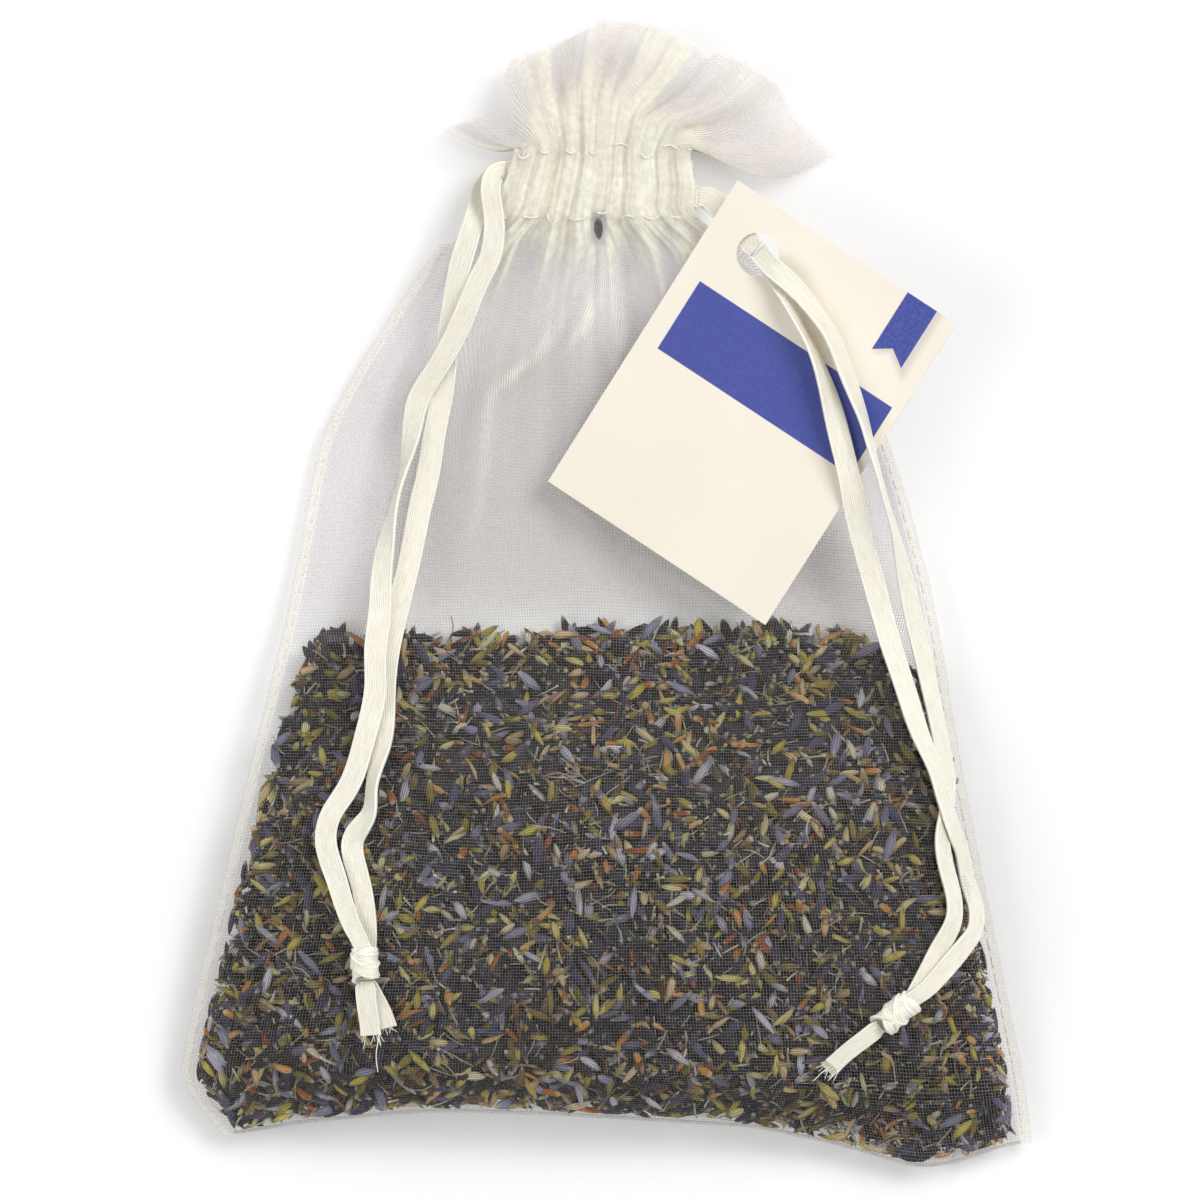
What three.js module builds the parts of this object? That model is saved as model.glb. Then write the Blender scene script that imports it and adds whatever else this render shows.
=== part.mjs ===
// A lavender sachet: a drawstring bag of ivory organza, about half filled with dried lavender, drawn shut
// with two ribbons and lying on its back, with a card tag threaded on the right ribbon. Millimetres, +Z up.
// X runs to the right across the bag and Y from the bottom fold to the ruffle. The origin is the middle of
// the bag on the surface that it lies on.
import * as THREE from "three";

// Bag cloth
const bagWidth = 110.5; // across the filled body, where it is widest
const bagLength = 149.2; // bottom fold to the top of the ruffle
const clothThick = 0.35; // organza with its crinkle
const layerGap = 0.3; // between neighbouring layers of cloth
const fillHeight = 21.5; // top of the front panel over the middle of the lavender
const seamWidth = 1.3; // side seams, stitch line to folded edge
const foldWidth = 1.3; // bottom fold, front to back of its roll
const foldBow = 3.6; // how far the bottom fold strays from a straight line between the corners
const foldRise = 9; // depth of the belt along the fold where the back panel leaves the surface

// Drawn neck with its casing
const neckWidth = 23; // across the gathers
const neckOffset = -0.95; // middle of the gathers from the middle of the bag
const casingBottom = 48.8; // lower row of stitches
const stitchMargin = 0.8; // row of stitches to the ribbons' channel
const pleatDepth = 2.4; // outside pleats of the gathers
const innerPleatDepth = 0.8; // inside pleats of the facings
const mouthGap = 0.6; // between the two facings in the drawn mouth
const slitInset = 4.4; // the facings stop this far inside each end of the casing

// Ruffle
const ruffleLift = 15.8; // its highest lobe above the line between its two tips
const ruffleWave = 2.4; // height of its waves
const ruffleSpread = 2; // middle of the mouth to the outside of the cloth at the rim
const leftTip = { x: -22.1, y: 60.3 };
const rightTip = { x: 29, y: 56.8 };
const leftWing = { x: -18, y: 58 };
const rightWing = { x: 19, y: 50 };

// Ribbons
const ribbonWidth = 3;
const ribbonThick = 0.4;
const ribbonGap = 0.3; // to the cloth, the other ribbon, a knot or the tag
const loopOut = 0.5; // how far a ribbon's held stretch reaches out of the casing
const ribbonBevel = 0.2; // from the ribbon's flat face to its edge
const leftKnot = { x: -31.5, y: -47.7, z: 19.9, length: 3.4, width: 3.2, height: 2.4, heading: -90 };
const rightKnot = { x: 36.8, y: -54.1, z: 16.8, length: 4.4, width: 3, height: 2.4, heading: -141.5 };

// Lavender
const fillMargin = 2.2; // heap to the bottom fold
const fillTop = -5.4; // upper edge of the heap, along Y
const fillRagged = 2.2; // depth of its ragged upper edge
const fillSlope = 24.6; // how far from that edge the heap has its full thickness
const lumpSpacing = 7.7; // between neighbouring lumps of its upper surface
const lumpDepth = 1.8; // lumps to the dips between them

// Hang tag
const tagWidth = 34;
const tagLength = 46.5;
const tagThick = 0.4;
const holeDiameter = 5.7;
const holeFromSide = 7.4;
const holeFromTop = 6.6;
const holePlace = new THREE.Vector3(19.1, 43.8, 12.3);
const tagPitch = THREE.MathUtils.degToRad(9.9);
const tagRoll = THREE.MathUtils.degToRad(-7.1);
const tagSpin = THREE.MathUtils.degToRad(-33.5);

// Free stretches of the ribbons. Each route is a list of points, x, y and z, with the ribbon's turn about
// its own run in degrees: at 0 it lies flat, and a turn above 0 raises the edge on the right of its run.
const leftStrandRoutes = [
  [
    [-13.35, 54.7, 7.5, 0], [-14.3, 54.65, 7.6, 0], [-15.1, 53.9, 8.3, -8], [-15.4, 52.6, 9, -16],
    [-15.3, 50.9, 9.7, -22], [-15, 48.8, 10.3, -20], [-15, 46, 10.4, -15], [-15.6, 43.2, 10.3, -20],
    [-16.7, 41, 10, -19], [-18.5, 36.8, 9.3, -16], [-20.4, 32.6, 8, -17], [-22.6, 28.9, 6.7, -15],
    [-24.8, 25.2, 5.3, -20], [-25.8, 20.5, 5.3, -40], [-26.8, 16.1, 5.3, -70], [-28.1, 11.3, 5.4, -70],
    [-29, 6.6, 6, -45], [-29.6, 2, 6.9, -20], [-29.8, -2.6, 8.6, -8], [-30.3, -7.3, 10.8, -12],
    [-30.3, -12.5, 13.5, -13], [-31.7, -19, 16.4, -20], [-34, -25.4, 16.9, -22], [-36, -28.6, 17.1, -25],
    [-36.6, -31.5, 17.6, -20], [-35.4, -36.1, 19.2, -15], [-34.3, -39.6, 20, -13], [-32.9, -43.2, 20.3, -12],
    [-31.8, -45.5, 20.2, -12],
  ],
  [
    [-13.35, 54.7, 3.25, 0], [-14.4, 54.7, 3.3, 0], [-15.5, 54.2, 3.7, 0], [-16.3, 53.1, 4.5, -4],
    [-16.7, 51.6, 5.7, -8], [-17.1, 49.9, 7.2, -12], [-17.6, 48.1, 8.6, -16], [-18.3, 46, 8.9, -20],
    [-19.6, 41.4, 8.4, -22], [-20.2, 38.1, 7.7, -20], [-20.9, 33.7, 6.5, -18], [-21.3, 29.1, 5.8, -14],
    [-21.9, 25, 5.2, -5], [-22.8, 20.5, 4.8, -1],
    [-23.5, 16, 4.5, -2], [-24.6, 11.3, 4.5, -2], [-25.5, 6.6, 5.1, -5], [-26.5, 2, 6, -6],
    [-27.6, -2.6, 7.6, -10], [-28.6, -7.3, 9.8, -13], [-29.1, -12.5, 12.4, -13], [-29.4, -19, 16.2, -30],
    [-30.7, -25.4, 18.5, -65], [-31.2, -28.6, 19.2, -50], [-33, -31.5, 18.5, -17], [-32.4, -36.1, 19.1, -13],
    [-31.6, -39.6, 19.6, -12], [-31.2, -43, 19.4, -12], [-31.2, -45.6, 19.1, -11],
  ],
];
const rightLeadRoutes = [
  [
    [11.45, 51.4, 3.25, 0], [12.4, 51.35, 3.5, 0], [13.6, 50.5, 5, -4], [14.9, 49.1, 7.1, -8],
    [16.2, 47.6, 8.8, -12], [17.4, 46.1, 10.2, -12], [18.85, 44.55, 11.8, -12],
  ],
  [
    [11.45, 51.4, 7.5, 0], [12.4, 51.35, 7.6, 0], [13.6, 50.5, 8.4, -4], [14.9, 49.1, 9.4, -8],
    [16.2, 47.6, 10.1, -12], [17.4, 46.1, 11, -12], [18.85, 44.55, 12.6, -12],
  ],
];
const rightStrandRoutes = [
  [
    [19.1, 44.25, 12, -12], [20.4, 42.5, 13.25, -12], [21.6, 40.8, 13.7, 0], [22.7, 38.8, 14.4, 30],
    [24.4, 34.8, 14.7, 70], [26, 31.7, 14.8, 70], [27.2, 28.7, 14.8, 60], [28.2, 25.6, 14.7, 45],
    [29.3, 21.4, 14.4, 25], [30.3, 17.4, 14, 8], [31.2, 13.5, 13.3, 0], [32.2, 8.3, 11.3, 2],
    [33.5, 3.6, 9.7, 6], [34.7, -0.8, 8.7, 12], [36, -5.5, 8.6, 18], [37.3, -9.6, 9.3, 24],
    [38.7, -14, 10.3, 32], [40.2, -18.5, 11.2, 44], [41.9, -22.4, 11.8, 52], [43.2, -26.8, 12.4, 56],
    [44.6, -30.9, 11.8, 56], [45.6, -33.9, 10.2, 54], [46.5, -38, 9.3, 52], [47.3, -40.6, 9.2, 50],
    [47.3, -42.6, 10, 48], [46.2, -44.9, 12.6, 42], [44.2, -47.2, 15, 28], [41.9, -49.8, 15.9, 22],
    [40.3, -51.3, 16.3, 22], [39.1, -52.1, 16.6, 22],
  ],
  [
    [19.1, 44.25, 12.8, -12], [20.5, 42.5, 14.15, -12], [22.2, 41, 15, 5], [23.9, 39.4, 15.3, 28],
    [26.4, 36.4, 15.2, 50], [28.5, 33.3, 15.4, 55], [30.2, 29.1, 15.5, 55], [31.7, 25.2, 15.6, 60],
    [32.8, 22, 15.6, 70], [33.6, 19, 15.6, 75], [34.5, 15.9, 15.1, 80], [35.5, 12.2, 13.7, 80],
    [36.7, 8.2, 11.8, 75], [37.6, 4.4, 10, 60], [38.5, 0.5, 8.5, 45], [39.4, -3.6, 7.7, 40],
    [40.3, -7.3, 7.3, 42], [41.2, -11.4, 7.5, 45], [42.1, -15.6, 8.1, 49], [43, -20, 8.4, 50],
    [43.7, -24.2, 9.1, 53], [43.4, -28.3, 11.4, 56], [42.9, -32, 13.3, 53], [43.4, -35.4, 13.4, 52],
    [44.3, -38.9, 13.2, 52], [44.3, -42.1, 13.9, 46], [42.6, -45.5, 14.7, 29], [41, -48.5, 15.4, 23],
    [39.9, -50.5, 15.7, 22], [39.2, -51.7, 15.8, 22],
  ],
];
const leftTailRoutes = [
  [[-31.5, -49.8, 19.4, -11], [-31.3, -52.8, 18.8, -11], [-31, -55, 18.2, -10], [-30.8, -56.8, 17.7, -9]],
  [[-31.3, -49.8, 18.7, -12], [-29.9, -52.4, 18.3, -13], [-29, -54.3, 18, -13], [-28.5, -55.8, 17.6, -12]],
];
const rightTailRoutes = [
  [[34.8, -55.7, 16.7, 20], [32.9, -57.2, 16.7, 20], [30.7, -58.9, 16.5, 20], [28.6, -60.8, 16.1, 21]],
  [[34.8, -55.7, 16, 20], [32.6, -57.4, 15.9, 20], [30.2, -59.3, 15.7, 20], [27.9, -61.3, 15.2, 22]],
];

// Counts
const pleatCount = 8;
const bodyRows = 18;
const ruffleRows = 5;
const heapRows = 20;
const loopSegments = 6;
const holeSegments = 12;
const knotSides = 14;

// Side edges of the body from the bottom corners to the shoulders: left x, left y, right x, right y, as
// shares of the bag's width and length, counted from its middle.
const edgeShares = [
  [-0.456, -0.471, 0.496, -0.4765],
  [-0.498, -0.428, 0.488, -0.434],
  [-0.499, -0.393, 0.478, -0.393],
  [-0.461, -0.271, 0.4447, -0.271],
  [-0.4165, -0.1315, 0.4082, -0.1315],
  [-0.3765, -0.0052, 0.38, -0.0052],
  [-0.3459, 0.1167, 0.3353, 0.1167],
  [-0.3176, 0.169, 0.3035, 0.1672],
  [-0.2765, 0.2213, 0.2588, 0.2256],
  [-0.2, 0.304, 0.1824, 0.2927],
];

// The bottom fold's bow across the bag: share of the width from the left corner, share of foldBow.
const foldShares = [
  [0, 0],
  [0.084, 0.47],
  [0.22, 0.9],
  [0.28, 0.97],
  [0.417, 0.86],
  [0.664, 0.47],
  [0.775, -0.22],
  [0.86, -0.94],
  [0.892, -1],
  [1, 0],
];

// The ruffle's rim across the bag: share of the way between its tips, share of ruffleLift.
const rimShares = [
  [0, 0],
  [0.15, 0.18],
  [0.17, 0.61],
  [0.27, 0.72],
  [0.42, 1],
  [0.55, 0.96],
  [0.67, 0.81],
  [0.77, 0.69],
  [0.866, 0.525],
  [0.896, 0.32],
  [1, 0],
];

// The ruffle's waves across the bag: share of the way between its tips, share of ruffleWave.
const waveShares = [
  [0, -0.9],
  [0.12, -0.2],
  [0.2, 1],
  [0.3, -0.5],
  [0.42, 0.8],
  [0.52, 0.1],
  [0.62, 0.9],
  [0.7, -0.4],
  [0.8, 0.3],
  [1, -1],
];

// Heights along the bag: share of its length from the middle, share of fillHeight.
const bellyShares = [
  [-0.471, 0.24],
  [-0.45, 0.5],
  [-0.42, 0.7],
  [-0.38, 0.84],
  [-0.33, 0.94],
  [-0.27, 1],
  [-0.2, 0.97],
  [-0.14, 0.84],
  [-0.08, 0.6],
  [-0.04, 0.42],
  [0, 0.28],
  [0.05, 0.19],
  [0.1, 0.165],
  [0.18, 0.19],
  [0.24, 0.27],
  [0.3, 0.36],
];
const sideShares = [
  [-0.471, 0.12],
  [-0.43, 0.16],
  [-0.35, 0.24],
  [-0.25, 0.28],
  [-0.15, 0.26],
  [-0.08, 0.2],
  [0, 0.12],
  [0.1, 0.08],
  [0.2, 0.09],
  [0.3, 0.2],
];

// How far the side slits are open, and how deep the pleats are, along the bag: share of its length, share
// of full.
const slitShares = [
  [0.22, 0],
  [0.3, 0.25],
  [0.325, 1],
];
const gatherShares = [
  [0.04, 0],
  [0.15, 0.25],
  [0.25, 0.7],
  [0.32, 1],
];

// One pleat, column by column, and the depth of each pleat across the bag, as shares of the pleat depth.
const pleatProfileShares = [0, 0.7, 1, 0.7];
const pleatDepthShares = [0.6, 1, 0.75, 0.95, 0.5, 1, 0.85, 0.65];
const pleatFadeShare = 0.7; // share of the pleat depth that is lost between the casing and the rim
const pleatEdgePower = 8; // how sharply the pleats die out at the side seams
const wingShare = 0.5; // share of the way out to a wing that the ruffle's edge first runs level
const rimPower = 0.6; // how fast the ruffle's rows take on the shape of its rim

// Sections of the pieces: roundness of the filled body, and how much thicker a layer may look where it is
// steep.
const crownPower = 2.6;
const steepLimit = 1.5;
const flatShare = 0.6; // share of the half width over which the back panel lies flat
const backPower = 2.2;
const bowShare = 0.3; // share of the body's rows over which the bottom fold's bow fades
const rollShare = 0.33; // rounding of the seams and the bottom fold, share of their width
const heapWaveShares = [2.4, 1.1]; // turns from column to column of the two waves of its ragged edge
const lumpLimitShare = 0.4; // most of the heap's thickness that a dip may take
const lumpStrayShare = 0.37; // pace of the waves that lead the rows of lumps astray, share of their own pace

// Half of a knot's outline: share of its length from the middle, share of its half width.
const knotShares = [
  [-0.5, 0],
  [-0.5, 0.5],
  [-0.4, 0.85],
  [-0.2, 1],
  [0, 0.84],
  [0.2, 1],
  [0.4, 0.85],
  [0.5, 0.5],
  [0.5, 0],
];

// Thickness of the lavender towards its upper edge: share of fillSlope from that edge, share of full.
const heapEdgeShares = [
  [0, 0.25],
  [0.19, 0.55],
  [0.58, 0.85],
  [1, 1],
];

const columns = pleatCount * pleatProfileShares.length;
const upperHem = steepLimit * clothThick;
const channelDepth = 2 * ribbonGap + ribbonThick;
const channelWidth = 2 * ribbonWidth + 3 * ribbonGap;
const neckHalf = mouthGap / 2 + upperHem + innerPleatDepth + channelDepth + clothThick;
const neckMiddle = neckHalf + pleatDepth;
const loopRadius = neckHalf - clothThick - channelDepth / 2;
const edgeHalf = upperHem + layerGap;
const casingTop = casingBottom + 2 * stitchMargin + channelWidth;
const casingLeft = neckOffset - neckWidth / 2;
const casingRight = neckOffset + neckWidth / 2;
const rightLoopY = casingBottom + stitchMargin + ribbonGap + ribbonWidth / 2;
const leftLoopY = rightLoopY + ribbonWidth + ribbonGap;

// The value of a table of pairs at a place, along straight lines between its points.
function fromTable(table, place) {
  if (place <= table[0][0]) return table[0][1];
  for (let i = 1; i < table.length; i += 1) {
    const [a, low] = table[i - 1];
    const [b, high] = table[i];
    if (place <= b) return THREE.MathUtils.mapLinear(place, a, b, low, high);
  }
  return table[table.length - 1][1];
}

const mix = THREE.MathUtils.lerp;

const leftEdge = new THREE.SplineCurve(
  edgeShares.map(([x, y]) => new THREE.Vector2(x * bagWidth, y * bagLength)),
);
const rightEdge = new THREE.SplineCurve(
  edgeShares.map(([, , x, y]) => new THREE.Vector2(x * bagWidth, y * bagLength)),
);

// Depth share of the pleats at a column: 0 in each valley between two pleats.
function pleatAt(column) {
  const inPleat = column % pleatProfileShares.length;
  const pleat = Math.min(Math.floor(column / pleatProfileShares.length), pleatCount - 1);
  return pleatProfileShares[inPleat] * pleatDepthShares[pleat % pleatDepthShares.length];
}

// A place on the body: across 0 to 1 from the left edge, along 0 to 1 from the bottom fold to the
// shoulders.
function bodyPlace(across, along, inset = 0) {
  const left = leftEdge.getPoint(along);
  const right = rightEdge.getPoint(along);
  const fade = Math.max(0, 1 - along / bowShare) ** 2;
  return {
    x: mix(left.x + inset, right.x - inset, across),
    y: mix(left.y, right.y, across) + fade * foldBow * fromTable(foldShares, across),
  };
}

// Height of the side edges, and of the front panel's upper side, at a place on the body.
function sideHeight(y) {
  return fillHeight * fromTable(sideShares, y / bagLength);
}

function frontHeight(across, y, pleat = 0) {
  const t = Math.abs(2 * across - 1);
  const slit = fromTable(slitShares, y / bagLength);
  const base = mix(fillHeight * fromTable(bellyShares, y / bagLength), neckMiddle + neckHalf, slit);
  const crown = mix(Math.sqrt(1 - t ** crownPower), 1, slit);
  const gather = fromTable(gatherShares, y / bagLength) * (1 - (1 - slit) * t ** pleatEdgePower);
  return mix(sideHeight(y) + edgeHalf, base, crown) + pleatDepth * gather * pleat;
}

// Height of the back panel's underside: flat on the surface, up to the seams at the sides and to the bottom
// fold.
function backHeight(across, y, alongFold, pleat = 0) {
  const t = Math.abs(2 * across - 1);
  const slit = fromTable(slitShares, y / bagLength);
  const side = Math.max(0, (t - flatShare) / (1 - flatShare)) ** backPower;
  const fold = Math.max(0, 1 - alongFold / foldRise) ** backPower;
  const foldHeight = frontHeight(across, bodyPlace(across, 0).y) - 2 * edgeHalf;
  const lifted = Math.max(side * (sideHeight(y) - edgeHalf), fold * foldHeight);
  const gather = fromTable(gatherShares, y / bagLength) * (1 - (1 - slit) * t ** pleatEdgePower);
  return lifted * (1 - slit) + pleatDepth * gather * (1 - pleat);
}

// The rows of the two panels, each a list of places with the heights of the outsides of front and back.
function clothRows() {
  const rows = [];
  for (let r = 0; r <= bodyRows; r += 1) {
    const row = [];
    for (let c = 0; c <= columns; c += 1) {
      const across = c / columns;
      const place = bodyPlace(across, r / bodyRows, seamWidth + layerGap);
      const start = bodyPlace(across, 0, seamWidth + layerGap).y;
      const shift = Math.max(0, 1 - r) * (foldWidth + layerGap);
      const y = place.y + shift;
      const front = frontHeight(across, place.y, pleatAt(c));
      const back = backHeight(across, place.y, place.y - start, pleatAt(c));
      row.push({ x: place.x, y, front, back });
    }
    rows.push({ kind: "body", row });
  }
  const channelBottom = casingBottom + stitchMargin;
  const casing = [
    ["stitch", casingBottom],
    ["channel", channelBottom],
    ["channel", channelBottom + channelWidth],
    ["stitch", casingTop],
  ];
  for (const [kind, y] of casing) {
    const row = [];
    for (let c = 0; c <= columns; c += 1) {
      const rise = neckHalf + pleatDepth * pleatAt(c);
      const x = mix(casingLeft, casingRight, c / columns);
      row.push({ x, y, front: neckMiddle + rise, back: neckMiddle - rise });
    }
    rows.push({ kind, row });
  }
  const side = (tip, wing, start) =>
    new THREE.CubicBezierCurve(
      new THREE.Vector2(start, casingTop),
      new THREE.Vector2(mix(start, wing.x, wingShare), casingTop),
      new THREE.Vector2(wing.x, wing.y),
      new THREE.Vector2(tip.x, tip.y),
    );
  const left = side(leftTip, leftWing, casingLeft);
  const right = side(rightTip, rightWing, casingRight);
  for (let r = 1; r <= ruffleRows; r += 1) {
    const along = r / ruffleRows;
    const from = left.getPoint(along);
    const to = right.getPoint(along);
    const lift = along ** rimPower * ruffleLift;
    const row = [];
    for (let c = 0; c <= columns; c += 1) {
      const across = c / columns;
      const middle = neckMiddle + along * ruffleWave * fromTable(waveShares, across);
      const spread = mix(neckHalf, ruffleSpread, along);
      const rise = spread + pleatDepth * (1 - pleatFadeShare * along) * pleatAt(c);
      row.push({
        x: mix(from.x, to.x, across),
        y: mix(from.y, to.y, across) + lift * fromTable(rimShares, across),
        front: middle + rise,
        back: middle - rise,
      });
    }
    rows.push({ kind: "ruffle", row });
  }
  return rows;
}

// Heights of the surface at a distance inside a layer's outer side, a little more where it is steep.
function inside(rows, name, distance, sign) {
  return rows.map((line, r) =>
    line.map((node, c) => {
      const before = line[Math.max(c - 1, 0)];
      const after = line[Math.min(c + 1, line.length - 1)];
      const under = rows[Math.max(r - 1, 0)][c];
      const over = rows[Math.min(r + 1, rows.length - 1)][c];
      const slopeX = (after[name] - before[name]) / (after.x - before.x);
      const slopeY = (over[name] - under[name]) / (over.y - under.y);
      const steep = Math.min(Math.hypot(1, slopeX, slopeY), steepLimit);
      return node[name] + sign * distance * steep;
    }),
  );
}

// A geometry from points and triangles, turned to face outwards.
function solid(points, triangles) {
  let volume = 0;
  const [a, b, c] = [new THREE.Vector3(), new THREE.Vector3(), new THREE.Vector3()];
  for (const [i, j, k] of triangles) {
    a.copy(points[i]);
    b.copy(points[j]);
    c.copy(points[k]);
    volume += a.dot(b.cross(c));
  }
  const order = volume < 0 ? triangles.map(([i, j, k]) => [i, k, j]) : triangles;
  const geometry = new THREE.BufferGeometry();
  geometry.setFromPoints(points);
  geometry.setIndex(order.flat());
  geometry.computeVertexNormals();
  return geometry;
}

// Closes the cells of a grid between two heights: both sides, and a wall along every edge that no cell
// shares.
function layer(rows, upper, lower, holds = () => true) {
  const across = rows[0].length;
  const points = [];
  rows.forEach((line, r) =>
    line.forEach((node, c) => {
      points.push(new THREE.Vector3(node.x, node.y, upper[r][c]));
      points.push(new THREE.Vector3(node.x, node.y, lower[r][c]));
    }),
  );
  const top = (r, c) => 2 * (r * across + c);
  const has = (r, c) =>
    r >= 0 && c >= 0 && r < rows.length - 1 && c < across - 1 && holds(r, c);
  const triangles = [];
  const quad = (i, j, k, l) => triangles.push([i, j, k], [i, k, l]);
  const wall = (p, q) => quad(p, p + 1, q + 1, q);
  for (let r = 0; r < rows.length - 1; r += 1) {
    for (let c = 0; c < across - 1; c += 1) {
      if (!has(r, c)) continue;
      const [i, j, k, l] = [top(r, c), top(r, c + 1), top(r + 1, c + 1), top(r + 1, c)];
      quad(i, j, k, l);
      quad(i + 1, l + 1, k + 1, j + 1);
      if (!has(r - 1, c)) wall(i, j);
      if (!has(r, c + 1)) wall(j, k);
      if (!has(r + 1, c)) wall(k, l);
      if (!has(r, c - 1)) wall(l, i);
    }
  }
  const used = [...new Set(triangles.flat())].sort((i, j) => i - j);
  const renumber = new Map(used.map((old, i) => [old, i]));
  return solid(
    used.map((i) => points[i]),
    triangles.map((t) => t.map((i) => renumber.get(i))),
  );
}

// Joins a row of like rings into one solid with flat ends.
function loft(rings) {
  const sides = rings[0].length;
  const points = rings.flat();
  const triangles = [];
  for (let r = 0; r < rings.length - 1; r += 1) {
    for (let s = 0; s < sides; s += 1) {
      const next = (s + 1) % sides;
      const [i, j] = [r * sides + s, r * sides + next];
      triangles.push([i, j, j + sides], [i, j + sides, i + sides]);
    }
  }
  const last = (rings.length - 1) * sides;
  for (let s = 1; s < sides - 1; s += 1) {
    triangles.push([0, s + 1, s], [last, last + s, last + s + 1]);
  }
  return solid(points, triangles);
}

const organza = new THREE.MeshStandardMaterial({ color: 0xd9d3cf, roughness: 0.55, metalness: 0 });
const doubledOrganza = new THREE.MeshStandardMaterial({ color: 0xe6e1cd, roughness: 0.55, metalness: 0 });
const ribbon = new THREE.MeshStandardMaterial({ color: 0xf0ebd7, roughness: 0.5, metalness: 0 });
const buds = new THREE.MeshStandardMaterial({ color: 0x4a4453, roughness: 0.95, metalness: 0 });
const card = new THREE.MeshStandardMaterial({ color: 0xf3ebde, roughness: 0.8, metalness: 0 });

const sachet = new THREE.Group();

function add(name, geometry, material, place = null) {
  const mesh = new THREE.Mesh(geometry, material);
  mesh.name = name;
  if (place) mesh.position.copy(place);
  sachet.add(mesh);
  return mesh;
}

// Front and back panels, each from the bottom fold to the rim of the ruffle.
const allRows = clothRows();
const grid = allRows.map(({ row }) => row);
const frontOutside = grid.map((line) => line.map(({ front }) => front));
const backOutside = grid.map((line) => line.map(({ back }) => back));
const frontInside = inside(grid, "front", clothThick, -1);
const backInside = inside(grid, "back", clothThick, 1);
add("front_panel", layer(grid, frontOutside, frontInside), organza);
add("back_panel", layer(grid, backInside, backOutside), organza);

// Facings: the turned-in hems inside the panels, from the lower row of stitches to the rim. Between the two
// rows of stitches they stand off the panels, which makes the ribbons' channel, and stop short of the side
// slits.
function facing(name, sign) {
  const first = allRows.findIndex(({ kind }) => kind !== "body");
  const rows = grid.slice(first);
  const nested = inside(rows, name, clothThick + layerGap, -sign);
  const middle = neckMiddle + sign * (neckHalf - clothThick - channelDepth);
  const outer = nested.map((line, r) =>
    line.map((height, c) =>
      allRows[first + r].kind === "channel" ? middle - sign * innerPleatDepth * pleatAt(c) : height,
    ),
  );
  const inner = outer.map((line) => line.map((height) => height - sign * upperHem));
  const slit = Math.ceil((slitInset / neckWidth) * columns);
  const ruffleStart = allRows.findIndex(({ kind }) => kind === "ruffle") - first - 1;
  const holds = (r, c) => r >= ruffleStart || (c >= slit && c < columns - slit);
  return sign > 0 ? layer(rows, outer, inner, holds) : layer(rows, inner, outer, holds);
}
add("front_facing", facing("front", 1), doubledOrganza);
add("back_facing", facing("back", -1), doubledOrganza);

// Side seams: both edges of the cloth folded in and stitched, a narrow strip with a round outer edge.
function sideSeam(sign) {
  const rings = [];
  for (let r = 0; r <= bodyRows; r += 1) {
    const { x, y } = bodyPlace(sign > 0 ? 1 : 0, r / bodyRows);
    const z = sideHeight(y);
    const at = (inset, height) => new THREE.Vector3(x - sign * inset, y, z + height);
    const round = rollShare * seamWidth;
    rings.push([
      at(seamWidth, edgeHalf),
      at(round, edgeHalf),
      at(0, 0),
      at(round, -edgeHalf),
      at(seamWidth, -edgeHalf),
    ]);
  }
  return loft(rings);
}
add("left_side_seam", sideSeam(-1), doubledOrganza);
add("right_side_seam", sideSeam(1), doubledOrganza);

// Bottom fold: the roll where the back panel's cloth turns up into the front panel.
function bottomFold() {
  const rings = [];
  for (let c = 0; c <= columns; c += 1) {
    const across = c / columns;
    const { x, y } = bodyPlace(across, 0, seamWidth + layerGap);
    const z = frontHeight(across, y) - edgeHalf;
    const at = (inset, height) => new THREE.Vector3(x, y + inset, z + height);
    const round = rollShare * foldWidth;
    rings.push([
      at(foldWidth, edgeHalf),
      at(round, edgeHalf),
      at(0, 0),
      at(round, -edgeHalf),
      at(foldWidth, -edgeHalf),
    ]);
  }
  return loft(rings);
}
add("bottom_fold", bottomFold(), organza);

// Lavender fill: the heap between the panels, thick in the middle of the bag and thinning to a ragged upper
// edge, with a lumpy upper surface. It has the panels' columns, and rows of its own from the bottom margin to
// the ragged edge. rowAt gives the place between two panel rows where a column reaches a height along Y.
function rowAt(column, y) {
  let r = 0;
  while (grid[r + 1][column].y < y) r += 1;
  return r + (y - grid[r][column].y) / (grid[r + 1][column].y - grid[r][column].y);
}

// Depth of the dips between the lumps, 0 to 1: a product of two waves, each led astray by the other's place.
function dipAt(x, y) {
  const [a, b] = [x, y].map((place) => (2 * Math.PI * place) / lumpSpacing);
  const waves = Math.sin(a + Math.sin(lumpStrayShare * b)) * Math.sin(b + Math.sin(lumpStrayShare * a));
  return (1 - waves) / 2;
}

function lavenderFill() {
  const [rows, upper, lower] = [[], [], []];
  for (let r = 0; r <= heapRows; r += 1) {
    const lines = [[], [], []];
    for (let c = 1; c < columns; c += 1) {
      const [coarse, fine] = heapWaveShares.map((share) => Math.sin(share * c));
      const ragged = fillTop + fillRagged * coarse * fine;
      const y = mix(grid[0][c].y + fillMargin, ragged, r / heapRows);
      const at = rowAt(c, y);
      const under = Math.floor(at);
      const between = (from, to) => mix(from, to, at - under);
      const x = between(grid[under][c].x, grid[under + 1][c].x);
      const floor = between(backInside[under][c], backInside[under + 1][c]) + layerGap;
      const top = between(frontInside[under][c], frontInside[under + 1][c]) - layerGap;
      const thick = (top - floor) * fromTable(heapEdgeShares, (ragged - y) / fillSlope);
      lines[0].push({ x, y });
      lines[1].push(floor + thick - Math.min(lumpDepth, lumpLimitShare * thick) * dipAt(x, y));
      lines[2].push(floor);
    }
    rows.push(lines[0]);
    upper.push(lines[1]);
    lower.push(lines[2]);
  }
  return layer(rows, upper, lower);
}
add("lavender_fill", lavenderFill(), buds);

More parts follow.
